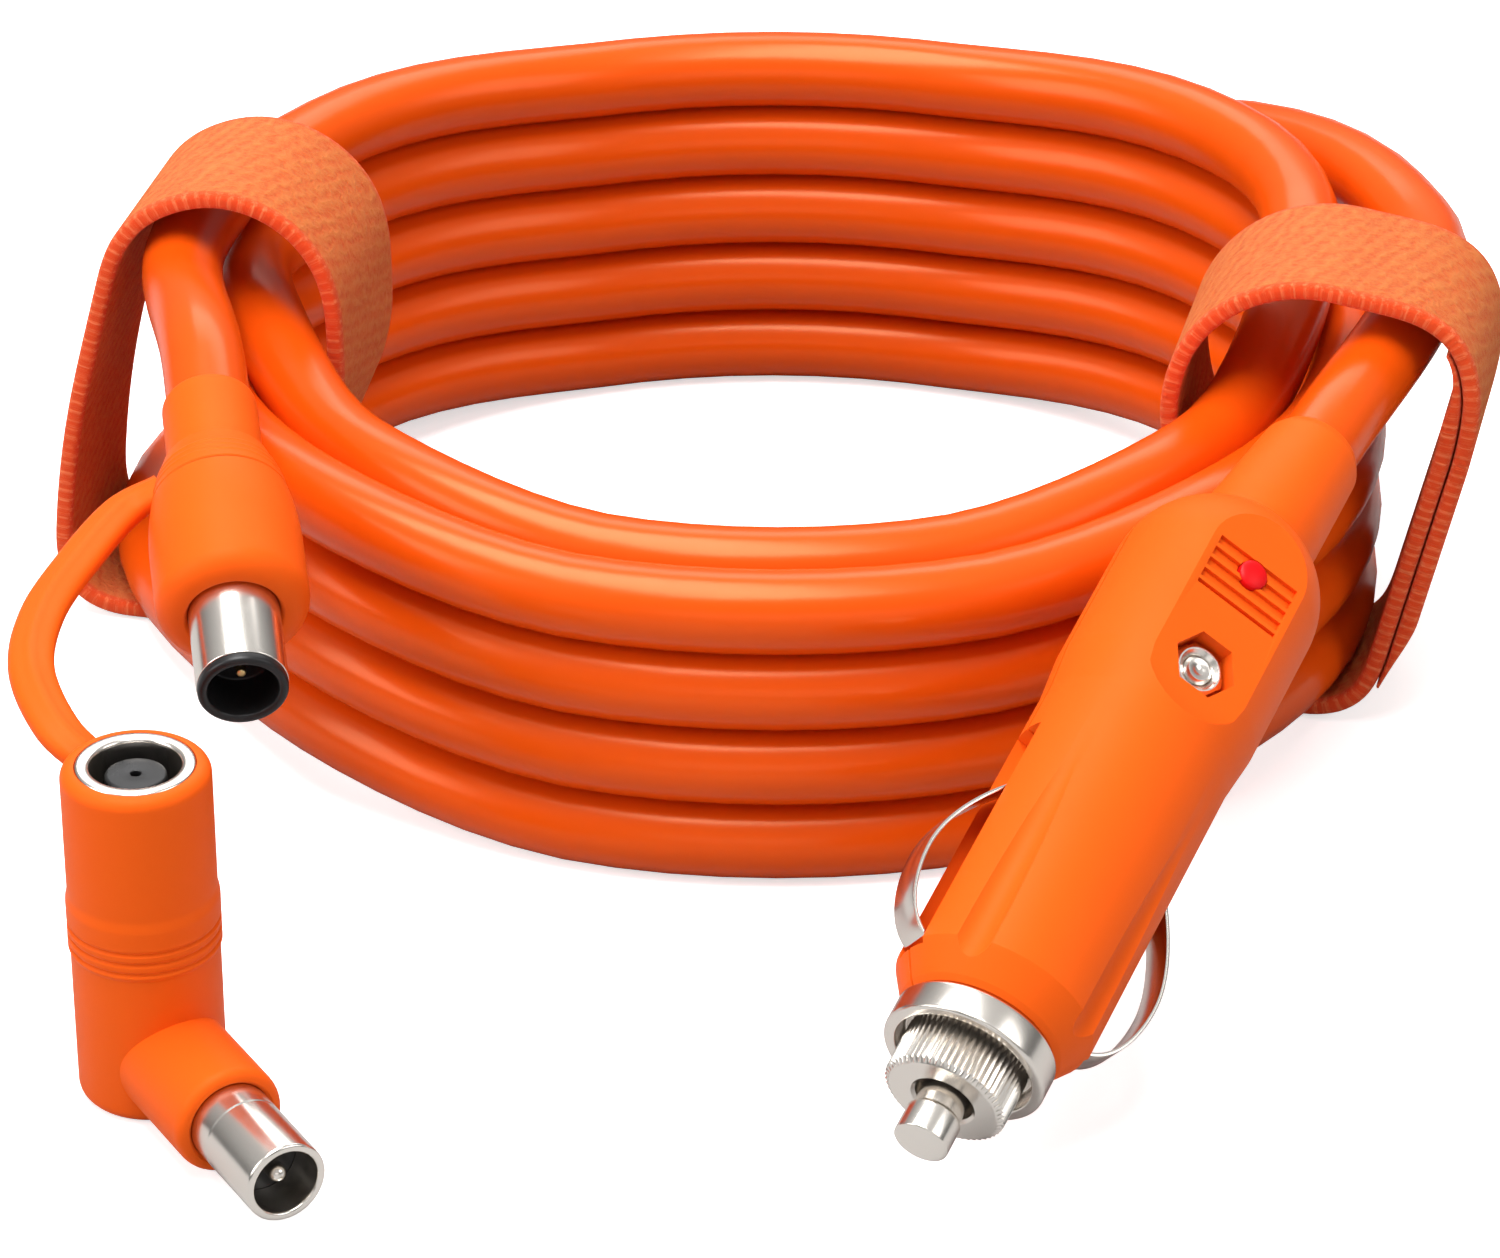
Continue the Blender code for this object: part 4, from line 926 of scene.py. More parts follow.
class CarPlug:
    """The car accessory plug: two half shells, boot, side springs and the nose with its pin."""

    def __init__(self, sizes: PlugSizes, place: Place, boot: Place, paint: Paint) -> None:
        self.s = sizes
        self.forge = Forge(place)
        self.boot_forge = Forge(boot)
        self.paint = paint

    def shell_profile(self) -> Profile:
        """The turned outline of the body."""
        s = self.s
        head = []
        for k in range(25):
            a = math.pi / 2 * k / 24
            head.append((s.head_r * math.sin(a), s.head_centre - s.head_r * math.cos(a)))
        head[0] = (0.0, s.head_centre - s.head_r)
        rest = [(s.head_r, s.barrel_end - 5), (s.shell_r, s.barrel_end), (s.shell_r, -s.chamfer)]
        rest += [(s.nose_r, -0.5), (s.nose_r - 0.5, 0.0), (0.0, 0.0)]
        outline = [*head, *rest]
        first = len(head)
        return fillet(outline, {first: 6.0, first + 1: 6.0, first + 2: 0.25, first + 3: 0.4}, 4)

    def flutes(self, face: int) -> list[Piece]:
        """Cutters for two long shallow flutes that widen towards the nose, beside the middle of one face."""
        s = self.s
        made = []
        for side in (-1, 1):
            angle = math.pi / 2 * face + side * math.radians(s.flute_angle)
            centre = Vector((math.cos(angle), math.sin(angle), 0))
            sections = []
            for k in range(13):
                t = k / 12
                z = s.flute_from + (2.0 - s.flute_from) * t
                out = s.shell_r + s.flute_r + 0.1 - (s.flute_depth + 0.1) * smoothstep(min(1.0, t * 1.2))
                sections.append([centre * out + Vector((x, y, z)) for x, y in polygon(s.flute_r, 64)])
            made.append(self.forge.loft(f"cut_flute_{face}_{side}", sections))
        return made

    def shells(self) -> None:
        """Both half shells with their bores, slots, grooves, flutes and screw holes."""
        s, forge = self.s, self.forge
        beyond = 16.0
        for name, sign in (("plug_shell_top", 1), ("plug_shell_bottom", -1)):
            half = forge.revolve(name, self.shell_profile(), self.paint(MOULDING), 160)
            split = sorted((sign * s.gap / 2, -sign * 20.0))
            cutters = [forge.box("cut_half", (-20, split[0], -80), (20, split[1], 5))]
            cutters.append(forge.revolve("cut_bore", rod(s.bore_r, s.bore_end, 1), None, 64))
            cutters.append(self.boot_forge.revolve("cut_boot", rod(s.socket_r, -s.boot_length, -3), None, 64))
            for way in (-1, 1):
                span = sorted((way * s.slot_floor, way * beyond))
                half_w = s.side_w / 2 + s.gap
                low, high = (span[0], -half_w, s.side_root[1] + 0.5), (span[1], half_w, s.side_tip[1] + 1.2)
                cutters.append(forge.box("cut_slot", low, high))
            wide, narrow, seat = s.screw_head_r + s.run, s.screw_r + s.run, s.screw_seat + s.gap
            shaft = [(0, -beyond), (wide, -beyond), (wide, seat)]
            shaft += [(narrow, seat), (narrow, beyond), (0, beyond)]
            cutters.append(forge.upright("cut_shaft", shaft, s.screw_z))
            cutters += self.flutes(sign)
            if sign > 0:
                cutters += self.panel(beyond)
            node = "plug_shell_upper" if sign > 0 else "plug_shell_lower"
            carve(half, cutters, edge=0.14, sharp=24)
            stands_for(half, Body.LEAD, node)

    def panel(self, beyond: float) -> list[Piece]:
        """Cutters for the flat on the head, its grip grooves, the nut's recess and the lens hole."""
        s, forge = self.s, self.forge
        ends = [math.pi * (1 + k / 16) for k in range(17)]
        flat = [(s.flat_half * math.cos(a), s.flat_round * (1 + math.sin(a))) for a in ends]
        flat += [(s.flat_half, s.flat_length), (-s.flat_half, s.flat_length)]
        made = [forge.prism("cut_flat", flat, s.flat_y, beyond, None, s.flat_front)]
        for k, wide in enumerate(s.groove_w):
            z = s.groove_from + k * s.groove_pitch
            low = (-s.groove_half, s.flat_y - s.groove_depth, z)
            made.append(forge.box("cut_groove", low, (s.groove_half, beyond, z + wide)))
        pocket, floor = polygon(s.nut_pocket_flats / math.sqrt(3), 6), s.flat_y - s.nut_pocket_depth
        made.append(forge.prism("cut_nut", pocket, floor, beyond, None, s.screw_z))
        made.append(forge.upright("cut_lens", rod(s.lens_r + 0.08, 5, beyond), s.lens_z))
        return made

    def boot(self) -> None:
        """The strain relief round the cable."""
        s, end, hollow, front = self.s, -self.s.boot_length, 2.4, -5.0
        outline = [(hollow, front), (s.boot_r, front), (s.boot_r, -12.0), (s.boot_end_r + 0.2, end + 1.2)]
        outline += [(s.boot_end_r - 0.35, end), (0.0, end), (0.0, end + 4.0), (hollow, end + 4.0)]
        outline = fillet(outline, {2: 3.0, 3: 0.8}, 6)
        made = self.boot_forge.revolve("plug_strain_relief", outline, self.paint(MOULDING), 96)
        stands_for(made, Body.LEAD, "plug_boot")

    def screw_and_nut(self) -> None:
        """The clamping screw, with its end's thread, and the chamfered hexagon nut in its recess."""
        s = self.s
        top, shank, low, head = s.flat_y - 1.2, s.screw_r, s.screw_seat - 1.7, s.screw_head_r
        outline = [(0, low), (head - 0.4, low), (head, low + 0.5)]
        outline += [(head, s.screw_seat), (shank, s.screw_seat)]
        turns = 9
        for k in range(turns):
            height = top - 0.3 - 0.4 * (turns - k)
            outline += [(shank, height), (shank - 0.16, height + 0.2)]
        outline += [(shank, top - 0.4), (shank - 0.3, top), (0.7, top), (0.5, top - 0.15), (0, top - 0.2)]
        screw = self.forge.upright("clamp_screw", outline, s.screw_z, self.paint(NICKEL), 64)
        stands_for(screw, Body.LEAD, "plug_screw")
        base, outline = s.flat_y - s.nut_pocket_depth + 0.1, polygon(s.nut_flats / math.sqrt(3), 6)
        crest, bore, beyond, chamfer = base + s.nut_h, s.screw_r + 0.1, 14.0, 0.55
        nut = self.forge.prism("clamp_nut", outline, base, crest, self.paint(NICKEL), s.screw_z)
        hole = [(0, 0), (bore, 0), (bore, crest - chamfer), (bore + chamfer, crest + 0.01)]
        hole += [(bore + chamfer, beyond), (0, beyond)]
        inner, outer = bore + 0.7, s.nut_flats
        cone = [(inner, crest - 0.01), (outer, crest - 1.9), (outer, beyond), (inner, beyond)]
        cutters = [self.forge.upright("cut_nut", shape, s.screw_z, steps=64) for shape in (hole, cone)]
        carve(nut, cutters, edge=0.08)
        stands_for(nut, Body.LEAD, "plug_hex_nut")

    def lens(self) -> None:
        """The domed indicator lens."""
        s = self.s
        outline = [(0, 4.6), (s.lens_r, 4.6), (s.lens_r, s.flat_y - 0.1)]
        for k in range(1, 9):
            a = math.pi / 2 * k / 8
            outline.append((s.lens_r * math.cos(a), s.flat_y - 0.1 + 0.45 * math.sin(a)))
        outline[-1] = (0, outline[-1][1])
        made = self.forge.upright("indicator_lens", outline, s.lens_z, self.paint(LENS), 64)
        stands_for(made, Body.LEAD, "led_lens")

    def side_contact(self, name: str, node: str, sign: int, body: Body) -> None:
        """A spring strip: a straight root in the shell, then a bow that ends in its slot near the nose."""
        s = self.s
        bend, apex, tip = (Vector((*spot, 0)) for spot in (s.side_bend, s.side_bow, s.side_tip))
        line = [Vector((*s.side_root, 0)), *hermite(bend, Vector((8, 9, 0)), apex, Vector((0, 14, 0)), 36)]
        line += hermite(apex, Vector((0, 10, 0)), tip, Vector((-8, 3, 0)), 28)[1:]
        half, thick = s.side_w / 2, s.side_t / 2
        corners = [(-thick, -half), (thick, -half), (thick, half), (-thick, half)]
        shape = fillet(corners, dict.fromkeys(range(4), 0.12), 2)
        sections = []
        for k, spot in enumerate(line):
            way = (line[min(k + 1, len(line) - 1)] - line[max(k - 1, 0)]).normalized()
            sections.append([Vector((sign * (spot.x + way.y * u), v, spot.y - way.x * u)) for u, v in shape])
        made = self.forge.loft(name, sections, self.paint(NICKEL), 50)
        stands_for(made, body, node)

    def nose(self) -> None:
        """The loose cup, the knurled cap and the centre pin."""
        s, forge = self.s, self.forge
        inner, front = s.cap_stem_r + s.run, s.gap + s.cup_length
        floor, recess = front - s.cup_recess, s.cup_recess_r
        cup = [(inner, s.gap), (s.cup_r, s.gap), (s.cup_r, front), (recess, front)]
        cup = fillet([*cup, (recess - 0.15, floor), (inner, floor)], {1: 0.5, 2: 0.45, 3: 0.25, 4: 0.3}, 4)
        made = forge.revolve("nose_ring", cup, self.paint(NICKEL), 128)
        stands_for(made, Body.CUP, "nose_cup")
        self.cap(floor + s.gap)
        wide, stop, reach = s.cap_bore_r - s.run, s.cap_step - s.gap, s.pin_tip - 3.4
        head, tip = s.pin_tip_r, s.pin_tip
        pin = [(0, s.flange), (wide, s.flange), (wide, stop), (s.pin_r, stop), (s.pin_r, reach)]
        pin += [(head, reach + 0.35), (head, tip - 0.1), (head - 0.3, tip), (0, tip)]
        pin = fillet(pin, {3: 0.2, 4: 0.25, 5: 0.3, 6: 0.45, 7: 0.3}, 4)
        stands_for(forge.revolve("pin", pin, self.paint(NICKEL), 96), Body.CONTACT, "centre_pin")

    def cap(self, seat: float) -> None:
        """The knurled cap: straight V teeth round a smooth front face, on its threaded stem."""
        s, forge = self.s, self.forge
        count, bevel, front = s.cap_teeth * 6, s.cap_bevel, s.cap_to

        def ring(z: float, inset: float) -> list[Vector]:
            spots = []
            for k in range(count):
                phase = (k * s.cap_teeth / count) % 1.0
                tooth = s.cap_r - s.cap_tooth * (1 - (1 - abs(2 * phase - 1)) ** 0.8)
                radius, a = min(tooth, s.cap_r - inset), 2 * math.pi * k / count
                spots.append(Vector((radius * math.cos(a), radius * math.sin(a), z)))
            return spots

        stations = ((seat, bevel), (seat + bevel * 0.8, 0.0), (front - bevel, 0.0))
        stations += ((front - 0.12, bevel * 1.3), (front, bevel * 1.6))
        made = forge.loft("fuse_cap_nut", [ring(z, inset) for z, inset in stations], self.paint(NICKEL), 30)
        stem = forge.revolve("add_stem", rod(s.cap_stem_r, s.cap_stem_end, seat + 0.5), None, 96)
        back, wide, narrow, flare = s.cap_stem_end - 1, s.cap_bore_r, s.cap_hole_r, s.cap_hole_r + 0.35
        bore = [(0, back), (wide, back), (wide, s.cap_step), (narrow, s.cap_step), (narrow, front - 0.3)]
        bore += [(flare, front + 0.05), (flare, front + 1), (0, front + 1)]
        carve(made, [forge.revolve("cut_cap_bore", bore, None, 96)], [stem], sharp=25)
        stands_for(made, Body.CAP, "knurled_cap")

    def build(self) -> None:
        """Makes every piece of the plug that shows."""
        self.shells()
        self.boot()
        self.screw_and_nut()
        self.lens()
        self.side_contact("side_spring_left", "side_contact_left", -1, Body.LEFT_SPRING)
        self.side_contact("side_spring_right", "side_contact_right", 1, Body.RIGHT_SPRING)
        self.nose()


# ---------------------------------------------------------------- DC connector


@dataclass(frozen=True)
class DcSizes:
    """The straight connector, with stations along its axis: 0 at the cable's end of the neck."""

    gap: float = 0.3
    snug: float = 0.05
    neck_r: float = 4.75
    collar_from: float = 8.8
    collar_to: float = 14.3
    body_r: float = 7.5
    body_full: float = 22.0
    shoulder_end: float = 15.0
    body_end: float = 30.0
    lip: float = 0.3
    recess_w: float = 0.35
    recess: float = 0.6
    barrel_r: float = 4.45
    bore_r: float = 3.4
    barrel_tip: float = 40.0
    pin_r: float = 0.5
    rings: tuple[float, ...] = (11.2, 12.1, 13.0)
    ring_h: float = 0.10
    ring_half: float = 0.32

    def radius(self, z: float) -> float:
        """The outer radius from the collar to the body."""
        t = min(max((z - self.collar_from + 0.8) / (self.body_full - self.collar_from), 0.0), 1.0)
        return self.neck_r + 0.2 + (self.body_r - self.neck_r - 0.2) * (1 - (1 - t) ** 2)

    def ringed(self, z: float) -> float:
        """The collar's radius with its fine rings."""
        off = min(abs(z - ring) for ring in self.rings) / self.ring_half
        return self.radius(z) + (self.ring_h * (math.cos(math.pi * off) + 1) / 2 if off < 1 else 0.0)


class DcConnector:
    """Overmould, plated barrel, black liner with its nose ring, and the thin pin."""

    def __init__(self, sizes: DcSizes, place: Place, paint: Paint) -> None:
        self.s = sizes
        self.forge = Forge(place)
        self.paint = paint

    def overmould(self) -> None:
        """The moulded neck and body, with a groove for the tether's collar between them."""
        s, ledge = self.s, self.s.collar_to + 0.12
        start = [(0, 0), (s.neck_r, 0), (s.neck_r, ledge), (s.radius(s.collar_to) - 0.15, ledge)]
        body = fillet(start, {1: 0.9}, 6)
        steps = 32
        for k in range(steps + 1):
            z = s.collar_to + 0.25 + (s.body_full - s.collar_to) * k / steps
            body.append((s.radius(z), z))
        room = s.barrel_r + s.snug
        edge = s.body_r - room - s.recess_w - s.lip
        for k in range(13):
            a = math.pi / 2 * k / 12
            body.append((s.body_r - edge * (1 - math.cos(a)), s.body_end - edge * (1 - math.sin(a))))
        inner = [(room + s.recess_w, s.body_end), (room, s.body_end - s.recess)]
        outline = [*body, *inner, (room, s.shoulder_end), (0, s.shoulder_end)]
        rounded = fillet(outline, {len(body): 0.3, len(body) + 1: 0.3}, 3)
        made = self.forge.revolve("connector_overmould", rounded, self.paint(MOULDING), 128)
        stands_for(made, Body.LEAD, "dc_overmould")

    def metal(self) -> None:
        """The plated barrel and the thin pin."""
        s = self.s
        back, tip, wall = s.shoulder_end + s.gap, s.barrel_tip - 1.0, s.bore_r + 0.7
        barrel = fillet([(wall, back), (s.barrel_r, back), (s.barrel_r, tip), (wall, tip)], {2: 0.15}, 3)
        made = self.forge.revolve("connector_barrel", barrel, self.paint(NICKEL), 128)
        stands_for(made, Body.LEAD, "dc_barrel")
        top = s.barrel_tip - 2.4
        pin = [(0, back), (s.pin_r, back), (s.pin_r, top), (0, top)]
        made = self.forge.revolve("connector_pin", fillet(pin, {2: 0.25}, 4), self.paint(BRASS), 32)
        stands_for(made, Body.LEAD, "dc_pin")

    def liner(self) -> None:
        """The black insulator: a rounded nose ring before the barrel, and the deep bore round the pin."""
        s = self.s
        back, tip = s.shoulder_end + s.gap, s.barrel_tip - 1.0
        nose, front, floor = s.barrel_r * 0.985, s.barrel_tip, s.barrel_tip - 5.0
        lined, hole = s.bore_r + 0.65, s.pin_r + 0.05
        outline = [(hole, back), (lined, back), (lined, tip + 0.05), (nose, tip + 0.05), (nose, front)]
        outline += [(s.bore_r, front), (s.bore_r, floor), (hole, floor)]
        rounded = fillet(outline, {3: 0.12, 4: 0.5, 5: 0.45, 6: 0.3}, 6)
        made = self.forge.revolve("connector_liner", rounded, self.paint(BLACK), 128)
        stands_for(made, Body.LEAD, "dc_liner")

    def build(self) -> None:
        """Makes the connector."""
        self.overmould()
        self.metal()
        self.liner()


# ---------------------------------------------------------------- elbow adapter


@dataclass(frozen=True)
class AdapterSizes:
    """The elbow adapter, standing on its round end, with its arm along local -Y, and its tether."""

    gap: float = 0.3
    snug: float = 0.05
    flare: float = 0.35
    body_r: float = 7.0
    height: float = 35.4
    edge: float = 1.2
    band: tuple[float, float] = (16.0, 22.6)
    band_h: float = 0.2
    grooves: tuple[float, ...] = (16.9, 18.0, 19.1)
    groove_h: float = 0.22
    socket_r: float = 5.6
    socket_bore_r: float = 4.25
    socket_depth: float = 12.0
    core_r: float = 2.9
    arm_r: float = 5.4
    arm_z: float = 5.6
    arm_end: float = 17.0
    male_r: float = 4.0
    male_bore_r: float = 3.2
    male_tip: float = 28.0
    male_back: float = 6.5
    pin_r: float = 0.85
    tether_w: float = 4.4
    tether_t: float = 3.0


TETHER_VIA = (
    (-60.6, -49.5, 37.6),
    (-64.0, -58.0, 37.0),
    (-66.6, -68.0, 36.6),
    (-66.6, -78.0, 36.2),
    (-63.4, -86.0, 34.6),
    (-59.4, -89.2, 32.6),
)


class ElbowAdapter:
    """The moulding with its arm, tether and collar in one piece, the socket and the male barrel."""

    def __init__(self, sizes: AdapterSizes, place: Place, dc_place: Place, connector: DcSizes,
                 paint: Paint) -> None:
        self.s = sizes
        self.forge = Forge(place)
        self.arm = Forge(place.child((0, 0, sizes.arm_z), Euler((math.pi / 2, 0, 0))))
        self.dc = Forge(dc_place)
        self.connector = connector
        self.paint = paint

    def side(self, z: float) -> float:
        """The body's radius, with the raised band and its fine grooves."""
        s = self.s
        low, high = s.band
        radius = s.body_r + s.band_h * smoothstep((z - low) / 0.5) * smoothstep((high - z) / 1.4)
        for groove in s.grooves:
            off = abs(z - groove) / 0.32
            if off < 1:
                radius -= s.groove_h * (math.cos(math.pi * off) + 1) / 2
        return radius

    def tether(self) -> Piece:
        """A band with a ridge along its middle, from the collar on the neck to the adapter's rim."""
        s = self.s
        start = self.dc.place.point((-self.connector.neck_r - 0.8, 0, 11.6)) - SHIFT
        knots = [start, *[Vector(spot) for spot in TETHER_VIA]]
        route: list[Vector] = []
        held = [knots[0], *knots, knots[-1]]
        for before, one, two, after in zip(held, held[1:], held[2:], held[3:]):
            route += hermite(one, (two - before) / 2, two, (after - one) / 2, 10)[:-1]
        route.append(knots[-1])
        sections = []
        for k, spot in enumerate(route):
            way = (route[min(k + 1, len(route) - 1)] - route[max(k - 1, 0)]).normalized()
            across = way.cross(Vector((0, 0, 1))).normalized()
            up = across.cross(way)
            outline = []
            for step in range(48):
                a = 2 * math.pi * (step + 0.5) / 48
                c, v = math.cos(a), math.sin(a)
                wide = math.copysign(abs(c) ** 0.8, c) * s.tether_w / 2
                high = math.copysign(abs(v) ** 0.8, v) * s.tether_t / 2 * 0.8
                ridge = 0.28 * math.exp(-((wide / 0.55) ** 2)) * math.copysign(1, v)
                outline.append(spot + across * wide + up * (high + ridge))
            sections.append(outline)
        return Forge(ROW).loft("add_tether", sections)

    def moulding(self) -> None:
        """Body, arm, tether and collar, joined and bored."""
        s = self.s
        outline = [(0, 0)]
        for k in range(11):
            a = math.pi / 2 * k / 10
            outline.append((s.body_r - 1.5 * (1 - math.sin(a)), 1.5 * (1 - math.cos(a))))
        steps = 60
        for k in range(steps + 1):
            z = s.band[0] - 0.4 + (s.band[1] - s.band[0] + 0.8) * k / steps
            outline.append((self.side(z), z))
        for k in range(9):
            a = math.pi / 2 * k / 8
            outline.append((s.body_r - s.edge * (1 - math.cos(a)), s.height - s.edge * (1 - math.sin(a))))
        outline.append((0, s.height))
        body = self.forge.revolve("adapter_body", outline, self.paint(MOULDING), 144)
        arm = [(0, 0), (s.arm_r, 0), (s.arm_r, s.arm_end), (0, s.arm_end)]
        joined = [self.arm.revolve("add_arm", fillet(arm, {2: 1.3}, 8), None, 112), self.tether()]
        worn = self.connector
        hug, steps = worn.neck_r + 0.12, 60
        collar = [(hug - 1, worn.collar_from), (worn.radius(worn.collar_from) - 0.3, worn.collar_from)]
        for k in range(steps + 1):
            z = worn.collar_from + 0.25 + (worn.collar_to - worn.collar_from - 0.4) * k / steps
            collar.append((worn.ringed(z), z))
        collar += [(worn.radius(worn.collar_to) - 0.12, worn.collar_to), (hug - 1, worn.collar_to)]
        joined.append(self.dc.revolve("add_collar", collar, None, 96))
        mouth = rod(s.socket_r + s.snug, s.height - s.socket_depth, s.height + 4)
        cutters = [self.forge.revolve("cut_socket", mouth, None, 120)]
        bore, flare, end = s.male_r + s.snug, s.male_r + s.snug + s.flare, s.arm_end
        way = [(0, s.male_back), (bore, s.male_back), (bore, end - s.flare), (flare, end), (flare, end + 2)]
        cutters.append(self.arm.revolve("cut_arm", [*way, (0, end + 2)], None, 100))
        cutters.append(self.dc.revolve("cut_neck", rod(hug, -3, worn.collar_to + 1), None, 88))
        carve(body, cutters, joined, sharp=35)
        stands_for(body, Body.ADAPTER, "adapter_moulding")

    def socket(self) -> None:
        """The bright socket ring and the black core with its pin hole."""
        s = self.s
        floor, base, top = s.height - s.socket_depth, s.height - s.socket_depth + s.gap, s.height + 0.1
        ring = [(s.socket_bore_r, base), (s.socket_r, base), (s.socket_r, top), (s.socket_bore_r, top)]
        made = self.forge.revolve("socket_shell", fillet(ring, {2: 0.3, 3: 0.45}, 4), self.paint(NICKEL), 128)
        stands_for(made, Body.ADAPTER, "socket_ring")
        front, wide, mouth, inside = s.height - 1.0, s.socket_bore_r - s.snug, 0.5, 1.2
        core = [(0, base), (wide, base), (wide, floor + 2.0), (s.core_r, floor + 2.0), (s.core_r, front)]
        core += [(mouth, front), (mouth, front - 1.0), (inside, front - 1.0)]
        core += [(inside, floor + 2.5), (0, floor + 2.5)]
        core = fillet(core, {4: 0.35, 5: 0.12}, 4)
        made = self.forge.revolve("socket_insulator", core, self.paint(BLACK), 96)
        stands_for(made, Body.ADAPTER, "socket_core")

    def plug(self) -> None:
        """The plated male barrel, its insulator and the round-headed pin."""
        s = self.s
        back, wide = s.male_back + s.gap, s.male_r
        groove = s.arm_end + 0.25 * (s.male_tip - s.arm_end)
        barrel = [(s.male_bore_r, back), (wide, back), (wide, groove - 0.14), (wide - 0.12, groove)]
        barrel += [(wide, groove + 0.14), (wide, s.male_tip), (s.male_bore_r, s.male_tip)]
        made = self.arm.revolve("male_barrel", fillet(barrel, {5: 0.35, 6: 0.3}, 4), self.paint(NICKEL), 128)
        stands_for(made, Body.ADAPTER, "adapter_barrel")
        lined, hole, floor = s.male_bore_r - s.snug, s.pin_r + s.snug, s.male_tip - 4.5
        liner = [(hole, back), (lined, back), (lined, floor), (hole, floor)]
        made = self.arm.revolve("male_insulator", liner, self.paint(BLACK), 96)
        stands_for(made, Body.ADAPTER, "adapter_liner")
        head = s.male_tip - 2.0
        pin = [(0, back), (s.pin_r, back)]
        for k in range(9):
            a = math.radians(80.0 * k / 8)
            pin.append((s.pin_r * math.cos(a), head + s.pin_r * math.sin(a)))
        pin += [(0.13, head + s.pin_r - 0.15), (0, head + s.pin_r - 0.2)]
        made = self.arm.revolve("male_pin", pin, self.paint(NICKEL), 48)
        stands_for(made, Body.ADAPTER, "adapter_pin")

    def build(self) -> None:
        """Makes the adapter."""
        self.moulding()
        self.socket()
        self.plug()


# ---------------------------------------------------------------- studio


@dataclass(frozen=True)
class Lamp:
    """A soft rectangular lamp: where it stands, in metres, its size and its power in watts."""

    name: str
    at: Triple
    size: tuple[float, float]
    power: float


LAMPS = (
    Lamp("top", (-0.15, -0.05, 1.00), (0.90, 0.50), 14.5),
    Lamp("left", (-0.90, -0.35, 0.55), (0.60, 0.60), 5.0),
    Lamp("right", (0.85, -0.40, 0.60), (0.60, 0.60), 2.6),
    Lamp("front", (0.05, -1.05, 0.30), (0.90, 0.40), 1.0),
    Lamp("rear", (0.10, 0.80, 0.75), (0.90, 0.40), 3.0),
)


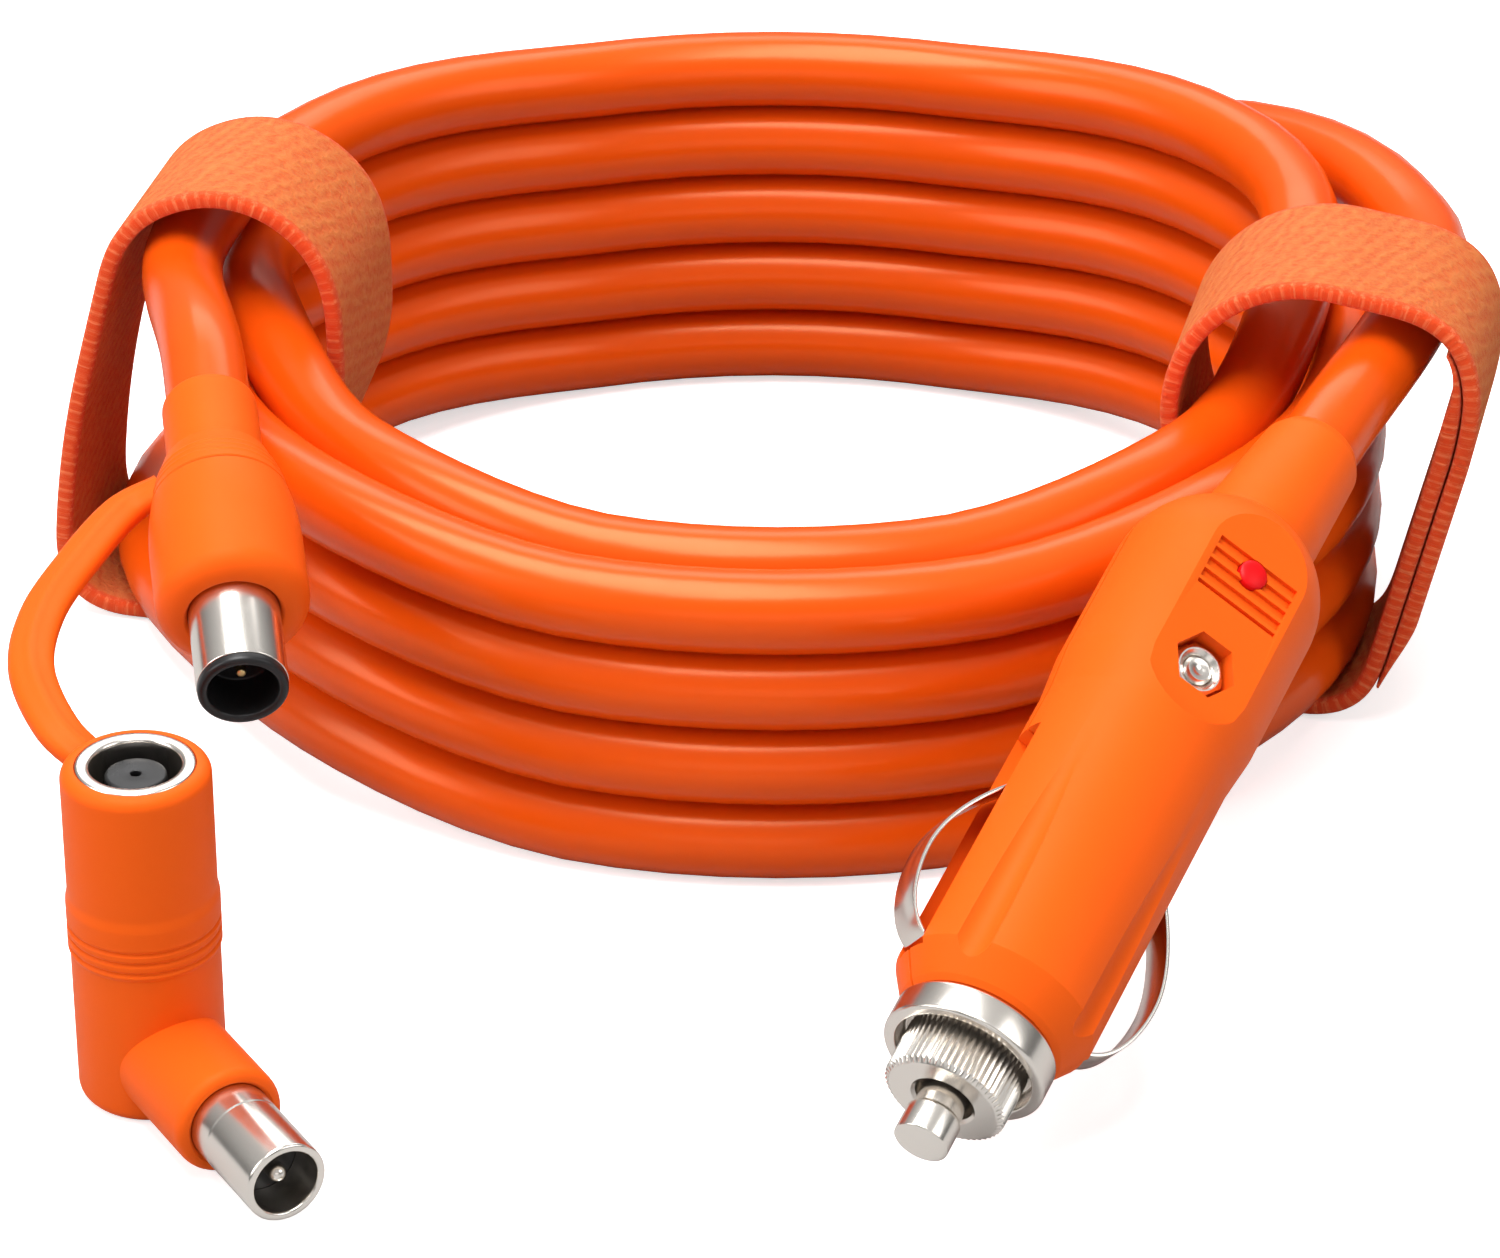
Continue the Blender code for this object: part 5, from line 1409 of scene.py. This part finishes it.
class Studio:
    """White surroundings, a pale floor that keeps the object's shadow, soft lamps and the camera."""

    sky = (0.24, 0.08, 0.60)  # as light, and in reflections at the horizon and overhead
    floor_greys = (0.42, 0.93)  # in the object's light and reflections, and to the camera
    floor_glow = 0.62
    aim = Vector((0, 0, 0.02))
    camera_at = (-0.002708, -0.495921, 0.3111)
    camera_down, camera_left = 29.93, 0.21
    lens, shift = 139.2, 0.018

    def world(self) -> None:
        """White to the camera, and a softer grey as light and in reflections."""
        world = bpy.data.worlds.new("studio")
        world.use_nodes = True
        bpy.context.scene.world = world
        sheet = Sheet(world.node_tree)
        path = sheet.add("ShaderNodeLightPath").outputs
        seen = sheet.math("MAXIMUM", path["Is Camera Ray"], path["Is Transmission Ray"])
        where = sheet.add("ShaderNodeTexCoord").outputs["Generated"]
        height = sheet.add("ShaderNodeSeparateXYZ", {"Vector": where}).outputs["Z"]
        light, low, high = self.sky
        unseen = sheet.values(path["Is Glossy Ray"], light, sheet.ramp(height, 0.0, 0.8, low, high))
        ground = world.node_tree.nodes["Background"]
        ground.inputs["Color"].default_value = (1.0, 1.0, 1.0, 1.0)
        sheet.feed(ground, Strength=sheet.values(seen, unseen, 1.0))

    def floor(self) -> None:
        """A pale floor, bright enough to meet the white behind it."""
        material = bpy.data.materials.new("floor")
        material.use_nodes = True
        sheet = Sheet(material.node_tree)
        shader = material.node_tree.nodes["Principled BSDF"]
        seen = sheet.add("ShaderNodeLightPath").outputs["Is Camera Ray"]
        greys = [(grey, grey, grey) for grey in self.floor_greys]
        glow = sheet.math("MULTIPLY", seen, self.floor_glow)
        sheet.feed(shader, Base_Color=sheet.colours(seen, *greys), Emission_Strength=glow)
        shader.inputs["Roughness"].default_value = 0.9
        shader.inputs["Specular IOR Level"].default_value = 0.0
        shader.inputs["Emission Color"].default_value = (1.0, 1.0, 1.0, 1.0)
        half, plain = 2500.0, Place(Vector((0, 0, 0)), Matrix.Identity(3))
        Forge(plain).box("floor", (-half, -half, -2.0), (half, half, -0.05), material)

    def light(self) -> None:
        """The lamps, each aimed at the object's middle."""
        for lamp in LAMPS:
            data = bpy.data.lights.new(lamp.name, "AREA")
            data.shape = "RECTANGLE"
            data.size, data.size_y = lamp.size
            data.energy = lamp.power
            made = bpy.data.objects.new(lamp.name, data)
            made.location = lamp.at
            made.rotation_euler = (self.aim - Vector(lamp.at)).to_track_quat("-Z", "Y").to_euler()
            bpy.context.collection.objects.link(made)

    def camera(self) -> None:
        """The photograph's viewpoint."""
        data = bpy.data.cameras.new("camera")
        data.lens, data.shift_x, data.sensor_width = self.lens, self.shift, 36.0
        made = bpy.data.objects.new("camera", data)
        made.location = self.camera_at
        made.rotation_euler = (math.radians(90 - self.camera_down), 0.0, math.radians(self.camera_left))
        bpy.context.collection.objects.link(made)
        bpy.context.scene.camera = made

    def build(self) -> None:
        """Sets everything up."""
        bpy.context.scene.view_settings.view_transform = "Standard"
        self.world()
        self.floor()
        self.light()
        self.camera()


# ---------------------------------------------------------------- the whole object


KEPT = {
    "core_earth": CORE_BLACK,
    "core_live": CORE_RED,
    "earth_bracket": STEEL,
    "fuse_cap_front": NICKEL,
    "fuse_cap_rear": NICKEL,
    "fuse_spring": STEEL,
    "fuse_tube": GLASS,
    "led_board": BOARD,
    "socket_contact": BRASS,
    "spring_seat": BRASS,
}


def dress_kept_nodes(paint: Paint) -> None:
    """Gives the CAD parts that are shown as they are their procedural finishes."""
    for name, finish in KEPT.items():
        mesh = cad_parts[name].data
        mesh.materials.clear()
        mesh.materials.append(paint(finish))


def main() -> None:
    """Builds every sub-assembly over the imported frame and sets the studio."""
    logging.basicConfig(level=logging.INFO, format="%(name)s: %(message)s")
    paint = Paint()
    Studio().build()
    coil = CableSizes()
    plug = Place.aimed((21.7 + SHIFT.x, -106.9 + SHIFT.y, 14.8), (-0.427, -0.836, -0.345), -38.6)
    boot = plug.child((0, 0, -55.6), Euler((math.radians(-5.8), math.radians(-6.4), 0)))
    dc = Place.aimed((-53.1 + SHIFT.x, -35.6 + SHIFT.y, 42.0), (0.147, -0.954, -0.265))
    routes = Cable(coil, paint).build(dc, boot.point((0, 0, -24.2)), boot.axis((0, 0, 1)))
    CarPlug(PlugSizes(), plug, boot, paint).build()
    connector = DcSizes()
    DcConnector(connector, dc, paint).build()
    elbow = Place(Vector((-55.5, -93.5, 0.0)) + SHIFT, Matrix.Rotation(math.radians(31.0), 3, "Z"))
    ElbowAdapter(AdapterSizes(), elbow, dc, connector, paint).build()
    dress_kept_nodes(paint)
    straps = Strap(StrapSizes(), coil, routes, paint)
    straps.build("strap_left_loop", "strap_left", 176.0, -8.0, -62.0, 0.12, True)
    straps.build("strap_right_loop", "strap_right", -16.0, 4.0, -50.0, 0.32)


if __name__ == "__main__":
    main()
